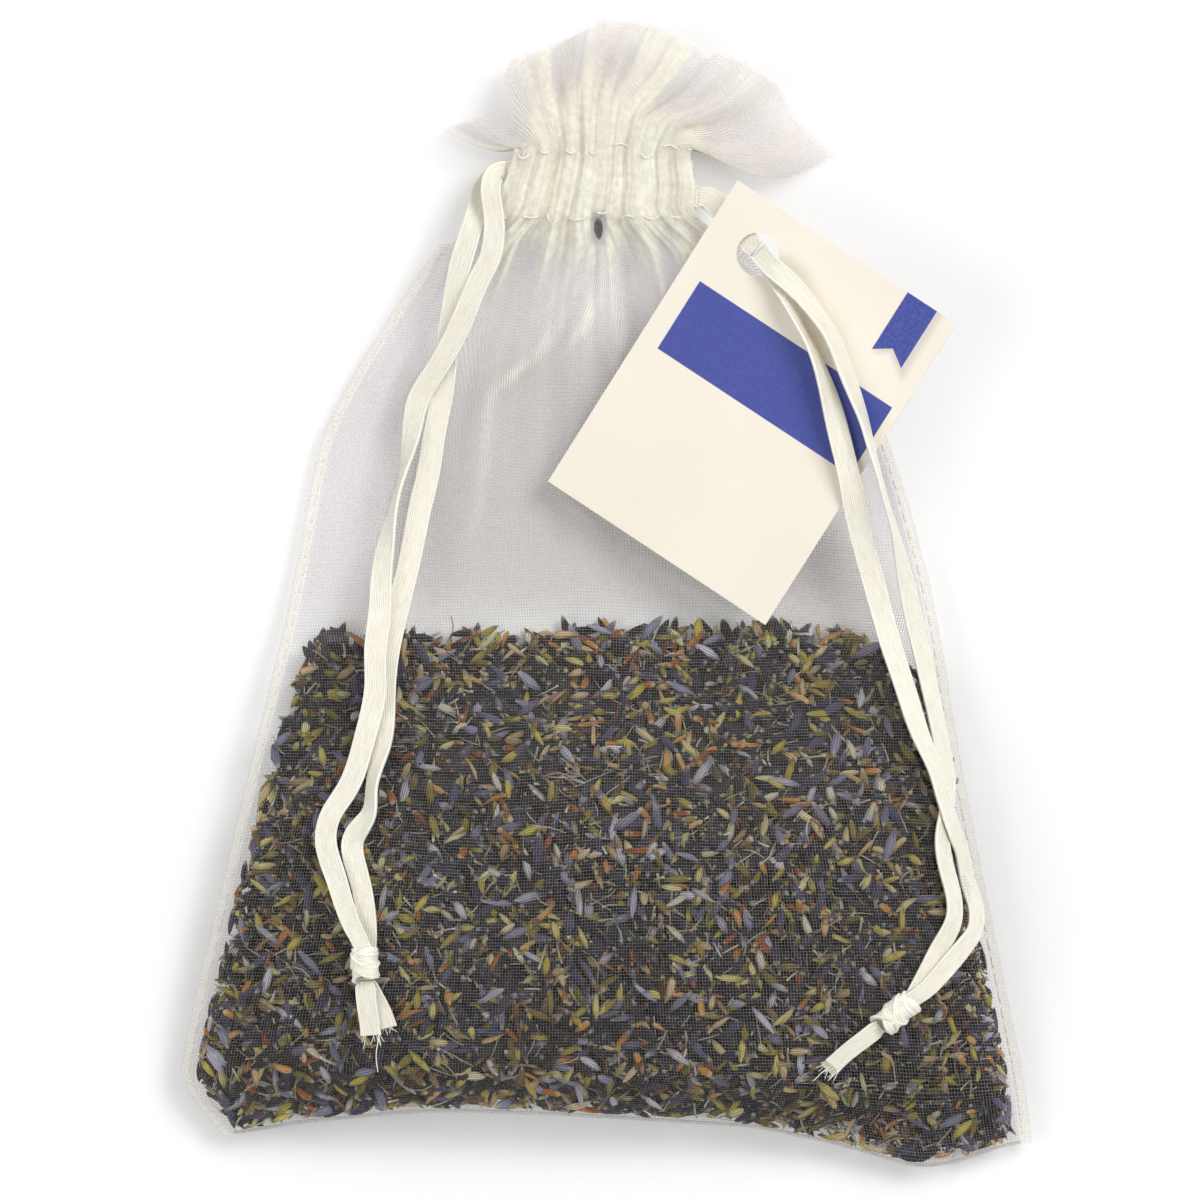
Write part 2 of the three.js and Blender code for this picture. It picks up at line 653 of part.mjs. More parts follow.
// Ribbon loops: each ribbon goes along the front channel, round the far end of the casing and back behind.
// The loop is drawn as a flat U in its own XY plane, which stands up along Z here, and carries the ribbon's
// width along Y.
function ribbonLoop() {
  const length = neckWidth + loopOut - ribbonGap - ribbonThick - loopRadius;
  const outer = loopRadius + ribbonThick / 2;
  const inner = loopRadius - ribbonThick / 2;
  const shape = new THREE.Shape();
  shape.moveTo(0, -outer);
  shape.lineTo(length, -outer);
  shape.absarc(length, 0, outer, -Math.PI / 2, Math.PI / 2, false);
  shape.lineTo(0, outer);
  shape.lineTo(0, inner);
  shape.lineTo(length, inner);
  shape.absarc(length, 0, inner, Math.PI / 2, -Math.PI / 2, true);
  shape.lineTo(0, -inner);
  shape.closePath();
  const geometry = new THREE.ExtrudeGeometry(shape, {
    depth: ribbonWidth,
    bevelEnabled: false,
    curveSegments: loopSegments,
  });
  geometry.rotateX(Math.PI / 2);
  geometry.translate(0, ribbonWidth / 2, 0);
  return geometry;
}
add(
  "left_ribbon_loop",
  ribbonLoop(),
  ribbon,
  new THREE.Vector3(casingLeft - loopOut, leftLoopY, neckMiddle),
);
add(
  "right_ribbon_loop",
  ribbonLoop(),
  ribbon,
  new THREE.Vector3(casingRight + loopOut, rightLoopY, neckMiddle),
).rotation.z = Math.PI;

// Hang tag: a card with a punched hole, drawn about the middle of the hole.
function tagGeometry() {
  const shape = new THREE.Shape();
  shape.moveTo(-holeFromSide, holeFromTop - tagLength);
  shape.lineTo(tagWidth - holeFromSide, holeFromTop - tagLength);
  shape.lineTo(tagWidth - holeFromSide, holeFromTop);
  shape.lineTo(-holeFromSide, holeFromTop);
  shape.closePath();
  const hole = new THREE.Path();
  hole.absarc(0, 0, holeDiameter / 2, 0, 2 * Math.PI, true);
  shape.holes.push(hole);
  const geometry = new THREE.ExtrudeGeometry(shape, {
    depth: tagThick,
    bevelEnabled: false,
    curveSegments: holeSegments,
  });
  return geometry.translate(0, 0, -tagThick / 2);
}
add("hang_tag", tagGeometry(), card, holePlace).rotation.set(tagPitch, tagRoll, tagSpin, "ZYX");

// A free stretch of ribbon: one flat section at each point of its route, square to its run and turned about
// it.
function ribbonStretch(route) {
  const curve = new THREE.CatmullRomCurve3(route.map(([x, y, z]) => new THREE.Vector3(x, y, z)));
  const [wide, thick] = [ribbonWidth / 2, ribbonThick / 2];
  const outline = [
    [wide, thick - ribbonBevel / 2],
    [wide - ribbonBevel, thick],
    [ribbonBevel - wide, thick],
    [-wide, thick - ribbonBevel / 2],
    [-wide, ribbonBevel / 2 - thick],
    [ribbonBevel - wide, -thick],
    [wide - ribbonBevel, -thick],
    [wide, ribbonBevel / 2 - thick],
  ];
  const up = new THREE.Vector3(0, 0, 1);
  const rings = route.map(([x, y, z, turn], i) => {
    const run = curve.getTangent(i / (route.length - 1));
    const side = new THREE.Vector3().crossVectors(run, up).normalize();
    side.applyAxisAngle(run, THREE.MathUtils.degToRad(-turn));
    const face = new THREE.Vector3().crossVectors(side, run);
    return outline.map(([a, b]) =>
      new THREE.Vector3(x, y, z).addScaledVector(side, a).addScaledVector(face, b),
    );
  });
  return loft(rings);
}
const stretches = {
  left_strand: leftStrandRoutes,
  left_tail: leftTailRoutes,
  right_lead: rightLeadRoutes,
  right_strand: rightStrandRoutes,
  right_tail: rightTailRoutes,
};
for (const [name, routes] of Object.entries(stretches)) {
  routes.forEach((route, i) => add(`${name}_${i + 1}`, ribbonStretch(route), ribbon));
}

// A knot that ties two ribbon ends together: two rounds of ribbon, pressed a little flat.
function addKnot(name, { x, y, z, length, width, height, heading }) {
  const profile = knotShares.map(([along, out]) => new THREE.Vector2((out * width) / 2, along * length));
  const geometry = new THREE.LatheGeometry(profile, knotSides);
  geometry.scale(1, 1, height / width);
  const mesh = add(name, geometry, ribbon, new THREE.Vector3(x, y, z));
  mesh.rotation.z = THREE.MathUtils.degToRad(heading) - Math.PI / 2;
}
addKnot("left_knot", leftKnot);
addKnot("right_knot", rightKnot);

export default sachet;
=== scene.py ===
"""A lavender sachet: sheer organza bag, dried lavender, ribbons with their knots, and a card tag."""

import math

import bpy
import numpy as np
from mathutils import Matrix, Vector


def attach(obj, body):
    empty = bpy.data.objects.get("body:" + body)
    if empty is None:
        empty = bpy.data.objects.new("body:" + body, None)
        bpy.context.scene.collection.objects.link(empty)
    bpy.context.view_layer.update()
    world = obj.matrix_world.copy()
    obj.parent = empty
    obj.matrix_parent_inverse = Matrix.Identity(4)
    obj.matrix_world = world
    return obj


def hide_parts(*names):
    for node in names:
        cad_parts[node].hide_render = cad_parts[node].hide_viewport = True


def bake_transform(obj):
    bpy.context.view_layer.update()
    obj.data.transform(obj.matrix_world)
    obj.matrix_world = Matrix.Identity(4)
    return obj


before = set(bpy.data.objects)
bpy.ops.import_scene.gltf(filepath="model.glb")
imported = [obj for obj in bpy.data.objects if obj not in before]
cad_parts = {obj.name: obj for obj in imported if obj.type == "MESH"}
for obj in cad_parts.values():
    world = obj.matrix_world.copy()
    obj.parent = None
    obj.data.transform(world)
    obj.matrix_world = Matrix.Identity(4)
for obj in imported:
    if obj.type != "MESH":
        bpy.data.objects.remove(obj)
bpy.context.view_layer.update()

MM = 0.001


# Helpers for shapes
def mix(a, b, share):
    return a + (b - a) * share


def eased(low, high, value):
    """0 below low and 1 above high, with a smooth step between them: 3s^2 - 2s^3."""
    s = np.clip((value - low) / (high - low), 0, 1)
    return s * s * (3 - 2 * s)


def from_table(table, place, soft=0.0):
    """The table's straight lines at a place, averaged over a short stretch of soft either side."""
    places, values = np.array(table, float).T
    offsets = np.linspace(-soft, soft, 9 if soft else 1)
    return np.mean([np.interp(np.asarray(place) + o, places, values) for o in offsets], axis=0)


def curve_at(points, share):
    """Catmull-Rom curve through points, even in its points, at shares 0 to 1."""
    points = np.asarray(points, float)
    place = np.clip(share, 0, 1) * (len(points) - 1)
    i = np.minimum(place.astype(int), len(points) - 2)
    s = (place - i)[..., None]
    last = len(points) - 1
    before, start = points[np.maximum(i - 1, 0)], points[i]
    end, after = points[i + 1], points[np.minimum(i + 2, last)]
    low, high = (end - before) / 2, (after - start) / 2
    return ((2 * start - 2 * end + low + high) * s**3
            + (3 * end - 3 * start - 2 * low - high) * s**2 + low * s + start)


def smooth_through(points, count):
    """Natural cubic spline through points, by distance along their chords, at count even places."""
    points = np.asarray(points, float)
    knots = np.concatenate([[0], np.cumsum(np.linalg.norm(np.diff(points[:, :3], axis=0), axis=1))])
    gaps = np.diff(knots)
    inner = np.arange(1, len(points) - 1)
    system = np.eye(len(points))
    system[inner, inner - 1] = gaps[:-1]
    system[inner, inner] = 2 * (gaps[:-1] + gaps[1:])
    system[inner, inner + 1] = gaps[1:]
    right = np.zeros_like(points)
    right[1:-1] = 6 * np.diff(np.diff(points, axis=0) / gaps[:, None], axis=0)
    bend = np.linalg.solve(system, right)
    place = np.linspace(0, knots[-1], count)
    i = np.clip(np.searchsorted(knots, place, side="right") - 1, 0, len(points) - 2)
    gap = gaps[i][:, None]
    a = (knots[i + 1] - place)[:, None] / gap
    b = 1 - a
    return (a * points[i] + b * points[i + 1]
            + ((a**3 - a) * bend[i] + (b**3 - b) * bend[i + 1]) * gap**2 / 6)


def ripples(x, y, lengths, seed, stretch=1.0):
    """A sum of long-crested waves of the given lengths, each with its own seeded heading and phase."""
    source = np.random.default_rng(seed)
    total = np.zeros(np.broadcast(x, y).shape)
    for length in lengths:
        for _ in range(4):
            heading, phase = source.uniform(0, 2 * np.pi, 2)
            along = x * np.cos(heading) + y * stretch * np.sin(heading)
            total += np.sin(2 * np.pi * along / length + phase) / 4
    return total / len(lengths)


def unit(vectors):
    return vectors / np.maximum(np.linalg.norm(vectors, axis=-1, keepdims=True), 1e-12)


def grid_faces(rows, columns, wrap=False):
    """Quads between neighbouring points of a grid, row by row; wrap joins each row's end to its start."""
    r, c = np.meshgrid(np.arange(rows - 1), np.arange(columns - (not wrap)), indexing="ij")
    n = (c + 1) % columns
    corners = [r * columns + c, r * columns + n, (r + 1) * columns + n, (r + 1) * columns + c]
    return np.stack(corners, -1).reshape(-1, 4)


def swept(path, side, section):
    """A section of (across, out) points carried along a path, with its across axis on side and flat ends."""
    side = np.broadcast_to(np.asarray(side, float), path.shape)
    run = unit(np.gradient(path, axis=0))
    side = unit(side - run * np.sum(side * run, -1, keepdims=True))
    out = np.cross(side, run)
    section = np.broadcast_to(section, (len(path),) + np.shape(section)[-2:])
    points = path[:, None] + side[:, None] * section[..., :1] + out[:, None] * section[..., 1:]
    rings, sides = section.shape[:2]
    middle = np.stack([points[0].mean(0), points[-1].mean(0)])
    s = np.arange(sides)
    n = (s + 1) % sides
    first = np.stack([np.full(sides, rings * sides), n, s], -1)
    top = (rings - 1) * sides
    last = np.stack([np.full(sides, rings * sides + 1), s + top, n + top], -1)
    return np.concatenate([points.reshape(-1, 3), middle]), [grid_faces(rings, sides, True), first, last]


ring = np.linspace(0, -2 * np.pi, 6, endpoint=False)
ROUND = np.stack([np.cos(ring), np.sin(ring)], -1)


def round_thread(path, side, radius):
    """A six-sided thread along a path, both in millimetres."""
    return swept(path * MM, side, ROUND * radius * MM)


def joined(shapes):
    """Several (points, faces) shapes as one."""
    points, faces, start = [], [], 0
    for these, sets in shapes:
        points.append(these)
        faces += [f + start for f in sets]
        start += len(these)
    return np.concatenate(points), faces


def piece(name, points, faces, finish, body, uv=None, values=None):
    """A mesh object of points in metres, with its finish, material slot and body, and any UVs and values."""
    faces = faces if isinstance(faces, list) else [faces]
    mesh = bpy.data.meshes.new(name)
    corners = np.concatenate([f.ravel() for f in faces]).astype(np.int32)
    sizes = np.concatenate([np.full(len(f), f.shape[1]) for f in faces]).astype(np.int32)
    mesh.vertices.add(len(points))
    mesh.vertices.foreach_set("co", np.ascontiguousarray(points, np.float32).ravel())
    mesh.loops.add(len(corners))
    mesh.loops.foreach_set("vertex_index", corners)
    mesh.polygons.add(len(sizes))
    mesh.polygons.foreach_set("loop_start", np.concatenate([[0], np.cumsum(sizes)[:-1]]).astype(np.int32))
    mesh.update(calc_edges=True)
    mesh.validate()
    mesh.shade_smooth()
    if uv is not None:
        layer = mesh.uv_layers.new(name="threads")
        layer.data.foreach_set("uv", np.ascontiguousarray(uv[corners], np.float32).ravel())
    for key, value in (values or {}).items():
        mesh.attributes.new(key, "FLOAT", "POINT").data.foreach_set("value", value.astype(np.float32).ravel())
    mesh.materials.append(finish)
    thing = bpy.data.objects.new(name, mesh)
    bpy.context.scene.collection.objects.link(thing)
    if body:
        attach(thing, body)
    return thing


# Helpers for finishes
def colour(code):
    """A linear colour from six hexadecimal digits of the screen colour."""
    part = np.array([int(code[i:i + 2], 16) / 255 for i in (0, 2, 4)])
    return (*np.where(part > 0.04045, ((part + 0.055) / 1.055) ** 2.4, part / 12.92), 1.0)


class Finish:
    """A node material. add() makes a node, sets its inputs or links them, and gives its first output."""

    def __init__(self, name):
        self.material = bpy.data.materials.new(name)
        self.material.use_nodes = True
        self.tree = self.material.node_tree
        self.shader = self.tree.nodes["Principled BSDF"]

    def add(self, kind, inputs=None, output=0, **settings):
        made = self.tree.nodes.new("ShaderNode" + kind)
        for key, value in settings.items():
            setattr(made, key, value)
        self.feed(made, inputs or {})
        return made.outputs[output]

    def feed(self, made, inputs):
        for key, value in inputs.items():
            if isinstance(value, bpy.types.NodeSocket):
                self.tree.links.new(value, made.inputs[key])
            else:
                made.inputs[key].default_value = value

    def sum(self, operation, a, b=0.0, c=0.0):
        return self.add("Math", {0: a, 1: b, 2: c}, operation=operation)

    def times(self, a, b):
        return self.sum("MULTIPLY", a, b)

    def less(self, a, b):
        return self.sum("SUBTRACT", a, b)

    def step(self, value, low, high, a=0.0, b=1.0):
        return self.add("MapRange", {"Value": value, "From Min": low, "From Max": high, "To Min": a,
                                     "To Max": b}, interpolation_type="SMOOTHSTEP")

    def blend(self, share, a, b, mode="MIX"):
        return self.add("Mix", {0: share, 6: a, 7: b}, output=2, data_type="RGBA", blend_type=mode)

    def ramp(self, share, stops):
        made = self.tree.nodes.new("ShaderNodeValToRGB")
        while len(made.color_ramp.elements) < len(stops):
            made.color_ramp.elements.new(0.5)
        for element, (place, code) in zip(made.color_ramp.elements, stops):
            element.position = place
            element.color = colour(code)
        self.feed(made, {0: share})
        return made.outputs[0]

    def noise(self, scale, detail=2.0):
        return self.add("TexNoise", {"Vector": self.place(), "Scale": scale, "Detail": detail})

    def place(self):
        return self.add("TexCoord", output=3)

    def uv(self):
        return self.add("UVMap", uv_map="threads")

    def split(self, vector):
        made = self.tree.nodes.new("ShaderNodeSeparateXYZ")
        self.feed(made, {0: vector})
        return made.outputs[0], made.outputs[1]

    def value(self, name):
        return self.add("Attribute", output=2, attribute_name=name)

    def bump(self, height, distance, strength=1.0):
        return self.add("Bump", {"Strength": strength, "Distance": distance, "Height": height})

    def done(self, **inputs):
        self.feed(self.shader, {key.replace("_", " "): value for key, value in inputs.items()})
        return self.material


def threads_of(f, half):
    """Masks of the two sets of threads: they lie on whole numbers of the UV map, which wanders a little, and
    are half wide to either side, with soft edges."""
    wander, soft = 0.25, 0.045
    drift = f.add("TexNoise", {"Vector": f.uv(), "Scale": 0.11, "Detail": 1.0}, output=1)
    moved = f.add("VectorMath", {0: drift, 1: (wander, wander, 0)}, operation="MULTIPLY")
    places = f.split(f.add("VectorMath", {0: f.uv(), 1: moved}, operation="ADD"))
    return [f.step(f.less(half, f.sum("PINGPONG", place, 0.5)), -soft, soft) for place in places]


def organza_finish(name, shaded_grey, lit, dense, half, extra=0.0):
    """Sheer square net: half see-through threads round holes. The threads' colour carries painted light and
    shade by the lit value: over the dark heap they are slim and painted a shaded grey, where the white
    table lies under the cloth they are painted lighter as if lit through it, and crowded cloth closes up
    and turns ivory. The holes are painted with shade by a share of their own: near black over the heap,
    lilac grey above it. The first three arguments are pairs of colours for shaded, lit and crowded
    threads, half is a thread's half width in pitches, and extra closes the holes."""
    over_heap, over_table, gathered, most = 0.42, 0.7, 0.95, 0.96
    f = Finish(name)
    crowd, backlight_share = f.value("crowd"), f.value("lit")
    warp, weft = threads_of(f, f.sum("MULTIPLY_ADD", crowd, 0.14, half))
    cloudy = f.noise(70, 3.0)
    # gathered threads lie side by side, and hide the ones across them
    patchy = f.step(backlight_share, 0.0, 0.2, 1.0, f.step(f.noise(55, 2.0), 0.35, 0.65, 0.15, 0.8))
    across = f.times(weft, f.times(patchy, f.step(crowd, 0.08, 0.4, 1.0, 0.1)))
    net = f.sum("MAXIMUM", warp, across)
    # how solid a thread is by what lies behind it, and the cloth as a whole with its holes
    strand = f.step(crowd, 0.0, 0.5, f.step(backlight_share, 0.02, 0.15, over_heap, over_table), gathered)
    closed = f.sum("MULTIPLY_ADD", crowd, 0.9, extra)
    cover = f.times(net, f.sum("MAXIMUM", f.less(strand, closed), 0.0))
    flecks = f.step(f.noise(900, 3.0), 0.35, 0.7, 0.85, 1.1)
    solid = f.sum("MINIMUM", f.times(f.sum("ADD", cover, closed), flecks), most)
    clear = f.times(f.less(1.0, solid), f.less(1.0, f.value("shade_in_holes")))
    alpha = f.less(1.0, clear)
    # share of the threads in what is seen of the cloth itself, the rest being the holes with their painted
    # shade
    share = f.sum("DIVIDE", solid, f.sum("MAXIMUM", alpha, 0.01))
    # painted light and shade in the threads' colour: the grey pair is painted shade, the lit pair painted
    # light from the white table under the cloth
    grey, light, ivory = (f.blend(cloudy, colour(a), colour(b)) for a, b in (shaded_grey, lit, dense))
    tone = f.blend(f.step(crowd, 0.0, 0.6), f.blend(backlight_share, grey, light), ivory)
    # painted shade in the holes: near black over the heap for the threads' shadow on the buds, lilac grey
    # above it for the shade in the middle of the bag
    painted_gap_tone = f.blend(f.step(backlight_share, 0.02, 0.15), colour("08070a"), colour("a29a98"))
    return f.done(Base_Color=f.blend(share, painted_gap_tone, tone), Alpha=alpha, Normal=f.bump(net, 0.00006, 0.5),
                  Roughness=f.step(cloudy, 0.3, 0.7, 0.4, 0.6), Sheen_Weight=f.times(share, 0.25),
                  Specular_IOR_Level=f.times(share, 0.35))


def ribbon_finish():
    """Woven ribbon: lengthwise ribs, fine cross threads with painted shade in the furrows between them, and
    brighter edges on UV x 0 to 1, y in thread pitches."""
    f = Finish("ribbon_weave")
    across, along = f.split(f.uv())
    drift = f.add("TexNoise", {"Vector": f.uv(), "Scale": 0.35, "Detail": 2.0})
    ribs = f.sum("SINE", f.sum("MULTIPLY_ADD", across, 75.0, f.times(drift, 5.0)))
    picks = f.sum("SINE", f.times(along, 6.2832))
    streak_place = f.add("Mapping", {"Vector": f.uv(), "Scale": (26.0, 0.12, 1.0)})
    streak = f.add("TexNoise", {"Vector": streak_place, "Scale": 1.0, "Detail": 3.0})
    edge = f.step(f.sum("ABSOLUTE", f.less(across, 0.5)), 0.4, 0.47)
    woven = f.sum("MULTIPLY_ADD", ribs, 0.5, f.times(picks, 0.2))
    height = f.sum("ADD", woven, f.times(edge, 1.5))
    body = f.blend(f.step(streak, 0.33, 0.66), colour("f3ecd8"), colour("fffef6"))
    # painted shade in the furrows between the ribs and between the picks
    furrow_shade = f.times(f.step(ribs, -1.0, 0.2, 0.6, 0.0), f.step(picks, -0.6, 0.6, 0.35, 1.0))
    ribbed = f.blend(furrow_shade, body, colour("cfc6ac"), "MULTIPLY")
    tone = f.blend(f.times(edge, 0.8), ribbed, colour("fffdf2"))
    return f.done(Base_Color=tone, Roughness=f.step(streak, 0.3, 0.7, 0.36, 0.6), Sheen_Weight=0.3,
                  Specular_IOR_Level=0.4, Normal=f.bump(height, 0.00005, 0.7))


def thread_finish(name, code):
    """Twisted sewing thread, with fine twist marks across it."""
    f = Finish(name)
    twist = f.noise(4200, 2.0)
    tone = f.blend(twist, colour(code), colour("fffdf2"))
    return f.done(Base_Color=tone, Roughness=0.5, Sheen_Weight=0.2, Normal=f.bump(twist, 0.00003, 0.6))


def bud_finish(name, stops, tip, rough, ribs=10.0):
    """Dried bud: colour by its own tone value, dark at its stalk and pale at its open tip, ribbed
    lengthwise with painted shade in the grooves between the ribs, with a dusty bloom."""
    f = Finish(name)
    shade = (0.02, 0.016, 0.02, 1)
    turn, along = f.split(f.uv())
    tone = f.ramp(f.value("tone"), stops)
    ends = f.step(along, 0.0, 0.5, 0.5, 1.0)
    dark = f.blend(f.less(1.0, ends), tone, shade)
    lines = f.sum("SINE", f.times(turn, ribs))
    # painted shade in the grooves between the ribs
    groove_shaded = f.blend(f.step(lines, -1.0, 0.6, 0.6, 0.0), dark, shade)
    tipped = f.blend(f.step(along, 0.78, 1.0, 0.0, 0.75), groove_shaded, colour(tip))
    specks = f.step(f.noise(1500, 3.0), 0.6, 0.74)
    dusty = f.blend(f.times(specks, 0.4), tipped, colour("c4bcae"))
    return f.done(Base_Color=dusty, Roughness=f.step(f.noise(600), 0.3, 0.7, rough - 0.15, rough),
                  Sheen_Weight=0.1, Specular_IOR_Level=0.3, Normal=f.bump(lines, 0.00008, 0.8))


def heap_finish():
    """The buds deep in the heap, painted near black for the shade there: dark cells the size of buds."""
    f = Finish("painted_shade_deep_buds")
    cells = f.add("TexVoronoi", {"Vector": f.place(), "Scale": 420.0}, output=1)
    grey = f.add("Mix", {0: 0.75, 6: cells, 7: (0.3, 0.3, 0.36, 1)}, output=2, data_type="RGBA")
    # painted shade: the cells are mixed nearly all the way to near black
    tone = f.blend(0.93, grey, (0.012, 0.01, 0.014, 1))
    return f.done(Base_Color=tone, Roughness=f.step(f.noise(400), 0.3, 0.7, 0.7, 0.95),
                  Normal=f.bump(f.noise(500, 3.0), 0.0006, 0.8))


# Sizes, in millimetres as in the CAD
bag_width, bag_length, fill_height = 110.5, 149.2, 21.5
fold_bow, fold_rise, edge_half = 3.6, 9.0, 0.825
neck_left, neck_right, casing_bottom, casing_top = -12.45, 10.55, 48.8, 57.3
neck_half, neck_middle, pleat_depth = 2.975, 5.375, 2.4
ruffle_lift, ruffle_wave, ruffle_spread = 15.8, 2.4, 2.0
left_flare, right_flare = 3.0, 0.9
front_pleat, front_lift = 1.0, 0.7
ribbon_width, ribbon_thick, pick_pitch, tuck = 3.0, 0.36, 0.3, 6.0
loop_front, loop_back, loop_reach = 7.5, 3.25, 21.5
seam_depth, seam_half, seam_round, seam_overhang = 1.4, 0.55, 0.35, 0.6
stitch_radius, seam_stitch_radius, loose_radius = 0.13, 0.055, 0.07
thread_pitch, flat_width = 0.42, 113.0
heap_top, heap_ragged, heap_slope, heap_margin, heap_gap = -5.4, 2.2, 24.6, 2.2, 0.65
heap_x, heap_y, core_x = (-55, 54.5), (-75, -3), (-54, 53)
brow_depth, hem_reach, hem_below = 5, 4.5, 16
core_under_top, core_over_floor = 2.4, 1.6
lump_spacing, lump_depth = 7.7, 1.8
bud_clearance, edge_clearance = 0.12, 0.35
lone_bud = (-1.5, 47.3, 7.4)
card_place, card_turn = (19.1, 43.8, 12.3), (9.9, -7.1, -33.5)
card_left, card_top, card_width, card_length = -7.4, 6.6, 34.0, 46.5

EDGES = np.array([
    (-0.456, -0.471, 0.496, -0.4765), (-0.498, -0.428, 0.488, -0.434), (-0.499, -0.393, 0.478, -0.393),
    (-0.461, -0.271, 0.4447, -0.271), (-0.4165, -0.1315, 0.4082, -0.1315), (-0.3765, -0.0052, 0.38, -0.0052),
    (-0.3459, 0.1167, 0.3353, 0.1167), (-0.3176, 0.169, 0.3035, 0.1672), (-0.2765, 0.2213, 0.2588, 0.2256),
    (-0.2, 0.304, 0.1824, 0.2927)]) * (bag_width, bag_length, bag_width, bag_length)
FOLD = [(0, 0), (0.084, 0.47), (0.22, 0.9), (0.28, 0.97), (0.417, 0.86), (0.664, 0.47), (0.775, -0.22),
        (0.86, -0.94), (0.892, -1), (1, 0)]
RIM = [(0, 0), (0.15, 0.18), (0.17, 0.61), (0.27, 0.72), (0.42, 1), (0.55, 0.96), (0.655, 0.8), (0.68, 0.72),
       (0.7, 0.8), (0.77, 0.72), (0.866, 0.525), (0.896, 0.32), (1, 0)]
WAVE = [(0, -0.9), (0.12, -0.2), (0.2, 1), (0.3, -0.5), (0.42, 0.8), (0.52, 0.1), (0.62, 0.9), (0.7, -0.4),
        (0.8, 0.3), (1, -1)]
BELLY = [(-0.471, 0.24), (-0.45, 0.5), (-0.42, 0.7), (-0.38, 0.84), (-0.33, 0.94), (-0.27, 1), (-0.2, 0.97),
         (-0.14, 0.84), (-0.08, 0.6), (-0.04, 0.42), (0, 0.28), (0.05, 0.19), (0.1, 0.165), (0.18, 0.19),
         (0.24, 0.27), (0.3, 0.36)]
SIDE = [(-0.471, 0.12), (-0.43, 0.16), (-0.35, 0.24), (-0.25, 0.28), (-0.15, 0.26), (-0.08, 0.2), (0, 0.12),
        (0.1, 0.08), (0.2, 0.09), (0.3, 0.2)]
SLIT = [(0.22, 0), (0.3, 0.25), (0.325, 1)]
GATHER = [(0.04, 0), (0.15, 0.25), (0.25, 0.7), (0.32, 1)]
HEAP_EDGE = [(0, 0.25), (0.19, 0.55), (0.58, 0.85), (1, 1)]
PLEATS = np.array([0.6, 1, 0.75, 0.95, 0.5, 1, 0.85, 0.65])


# Camera, straight above as in the photograph
camera_height, view_width = 1.8, 0.156
camera_data = bpy.data.cameras.new("camera")
camera_data.sensor_width = 36
camera_data.lens = 36 * camera_height / view_width
camera = bpy.data.objects.new("camera", camera_data)
camera.location = (-1.3 * MM, -0.8 * MM, camera_height)
bpy.context.scene.collection.objects.link(camera)
bpy.context.scene.camera = camera
bpy.context.scene.view_settings.view_transform = "Standard"
bpy.context.scene.cycles.transparent_max_bounces = 48


# Ribbon ends, each on its CAD route: x, y, z and the turn about its run in degrees
LEFT_STRANDS = [
    [
        (-13.35, 54.7, 7.5, 0), (-14.3, 54.65, 7.6, 0), (-15.1, 53.9, 8.3, -8), (-15.4, 52.6, 9, -16),
        (-15.3, 50.9, 9.7, -22), (-15, 48.8, 10.3, -20), (-15, 46, 10.4, -15), (-15.6, 43.2, 10.3, -20),
        (-16.7, 41, 10, -19), (-18.5, 36.8, 9.3, -16), (-20.4, 32.6, 8, -17), (-22.6, 28.9, 6.7, -15),
        (-24.8, 25.2, 5.3, -20), (-25.8, 20.5, 5.3, -40), (-26.8, 16.1, 5.3, -70), (-28.1, 11.3, 5.4, -70),
        (-29, 6.6, 6, -45), (-29.6, 2, 6.9, -20), (-29.8, -2.6, 8.6, -8), (-30.3, -7.3, 10.8, -12),
        (-30.3, -12.5, 13.5, -13), (-31.7, -19, 16.4, -20), (-34, -25.4, 16.9, -22),
        (-36, -28.6, 17.1, -25), (-36.6, -31.5, 17.6, -20), (-35.4, -36.1, 19.2, -15),
        (-34.3, -39.6, 20, -13), (-32.9, -43.2, 20.3, -12), (-31.8, -45.5, 20.2, -12),
    ],
    [
        (-13.35, 54.7, 3.25, 0), (-14.4, 54.7, 3.3, 0), (-15.5, 54.2, 3.7, 0), (-16.3, 53.1, 4.5, -4),
        (-16.7, 51.6, 5.7, -8), (-17.1, 49.9, 7.2, -12), (-17.6, 48.1, 8.6, -16), (-18.3, 46, 8.9, -20),
        (-19.6, 41.4, 8.4, -22), (-20.2, 38.1, 7.7, -20), (-20.9, 33.7, 6.5, -18), (-21.3, 29.1, 5.8, -14),
        (-21.9, 25, 5.2, -5), (-22.8, 20.5, 4.8, -1), (-23.5, 16, 4.5, -2), (-24.6, 11.3, 4.5, -2),
        (-25.5, 6.6, 5.1, -5), (-26.5, 2, 6, -6), (-27.6, -2.6, 7.6, -10), (-28.6, -7.3, 9.8, -13),
        (-29.1, -12.5, 12.4, -13), (-29.4, -19, 16.2, -30), (-30.7, -25.4, 18.5, -65),
        (-31.2, -28.6, 19.2, -50), (-33, -31.5, 18.5, -17), (-32.4, -36.1, 19.1, -13),
        (-31.6, -39.6, 19.6, -12), (-31.2, -43, 19.4, -12), (-31.2, -45.6, 19.1, -11),
    ],
]
RIGHT_LEADS = [
    [
        (11.45, 51.4, 3.25, 0), (12.4, 51.35, 3.5, 0), (13.6, 50.5, 5, -4), (14.9, 49.1, 7.1, -8),
        (16.2, 47.6, 8.8, -12), (17.4, 46.1, 10.2, -12), (18.85, 44.55, 11.8, -12),
    ],
    [
        (11.45, 51.4, 7.5, 0), (12.4, 51.35, 7.6, 0), (13.6, 50.5, 8.4, -4), (14.9, 49.1, 9.4, -8),
        (16.2, 47.6, 10.1, -12), (17.4, 46.1, 11, -12), (18.85, 44.55, 12.6, -12),
    ],
]
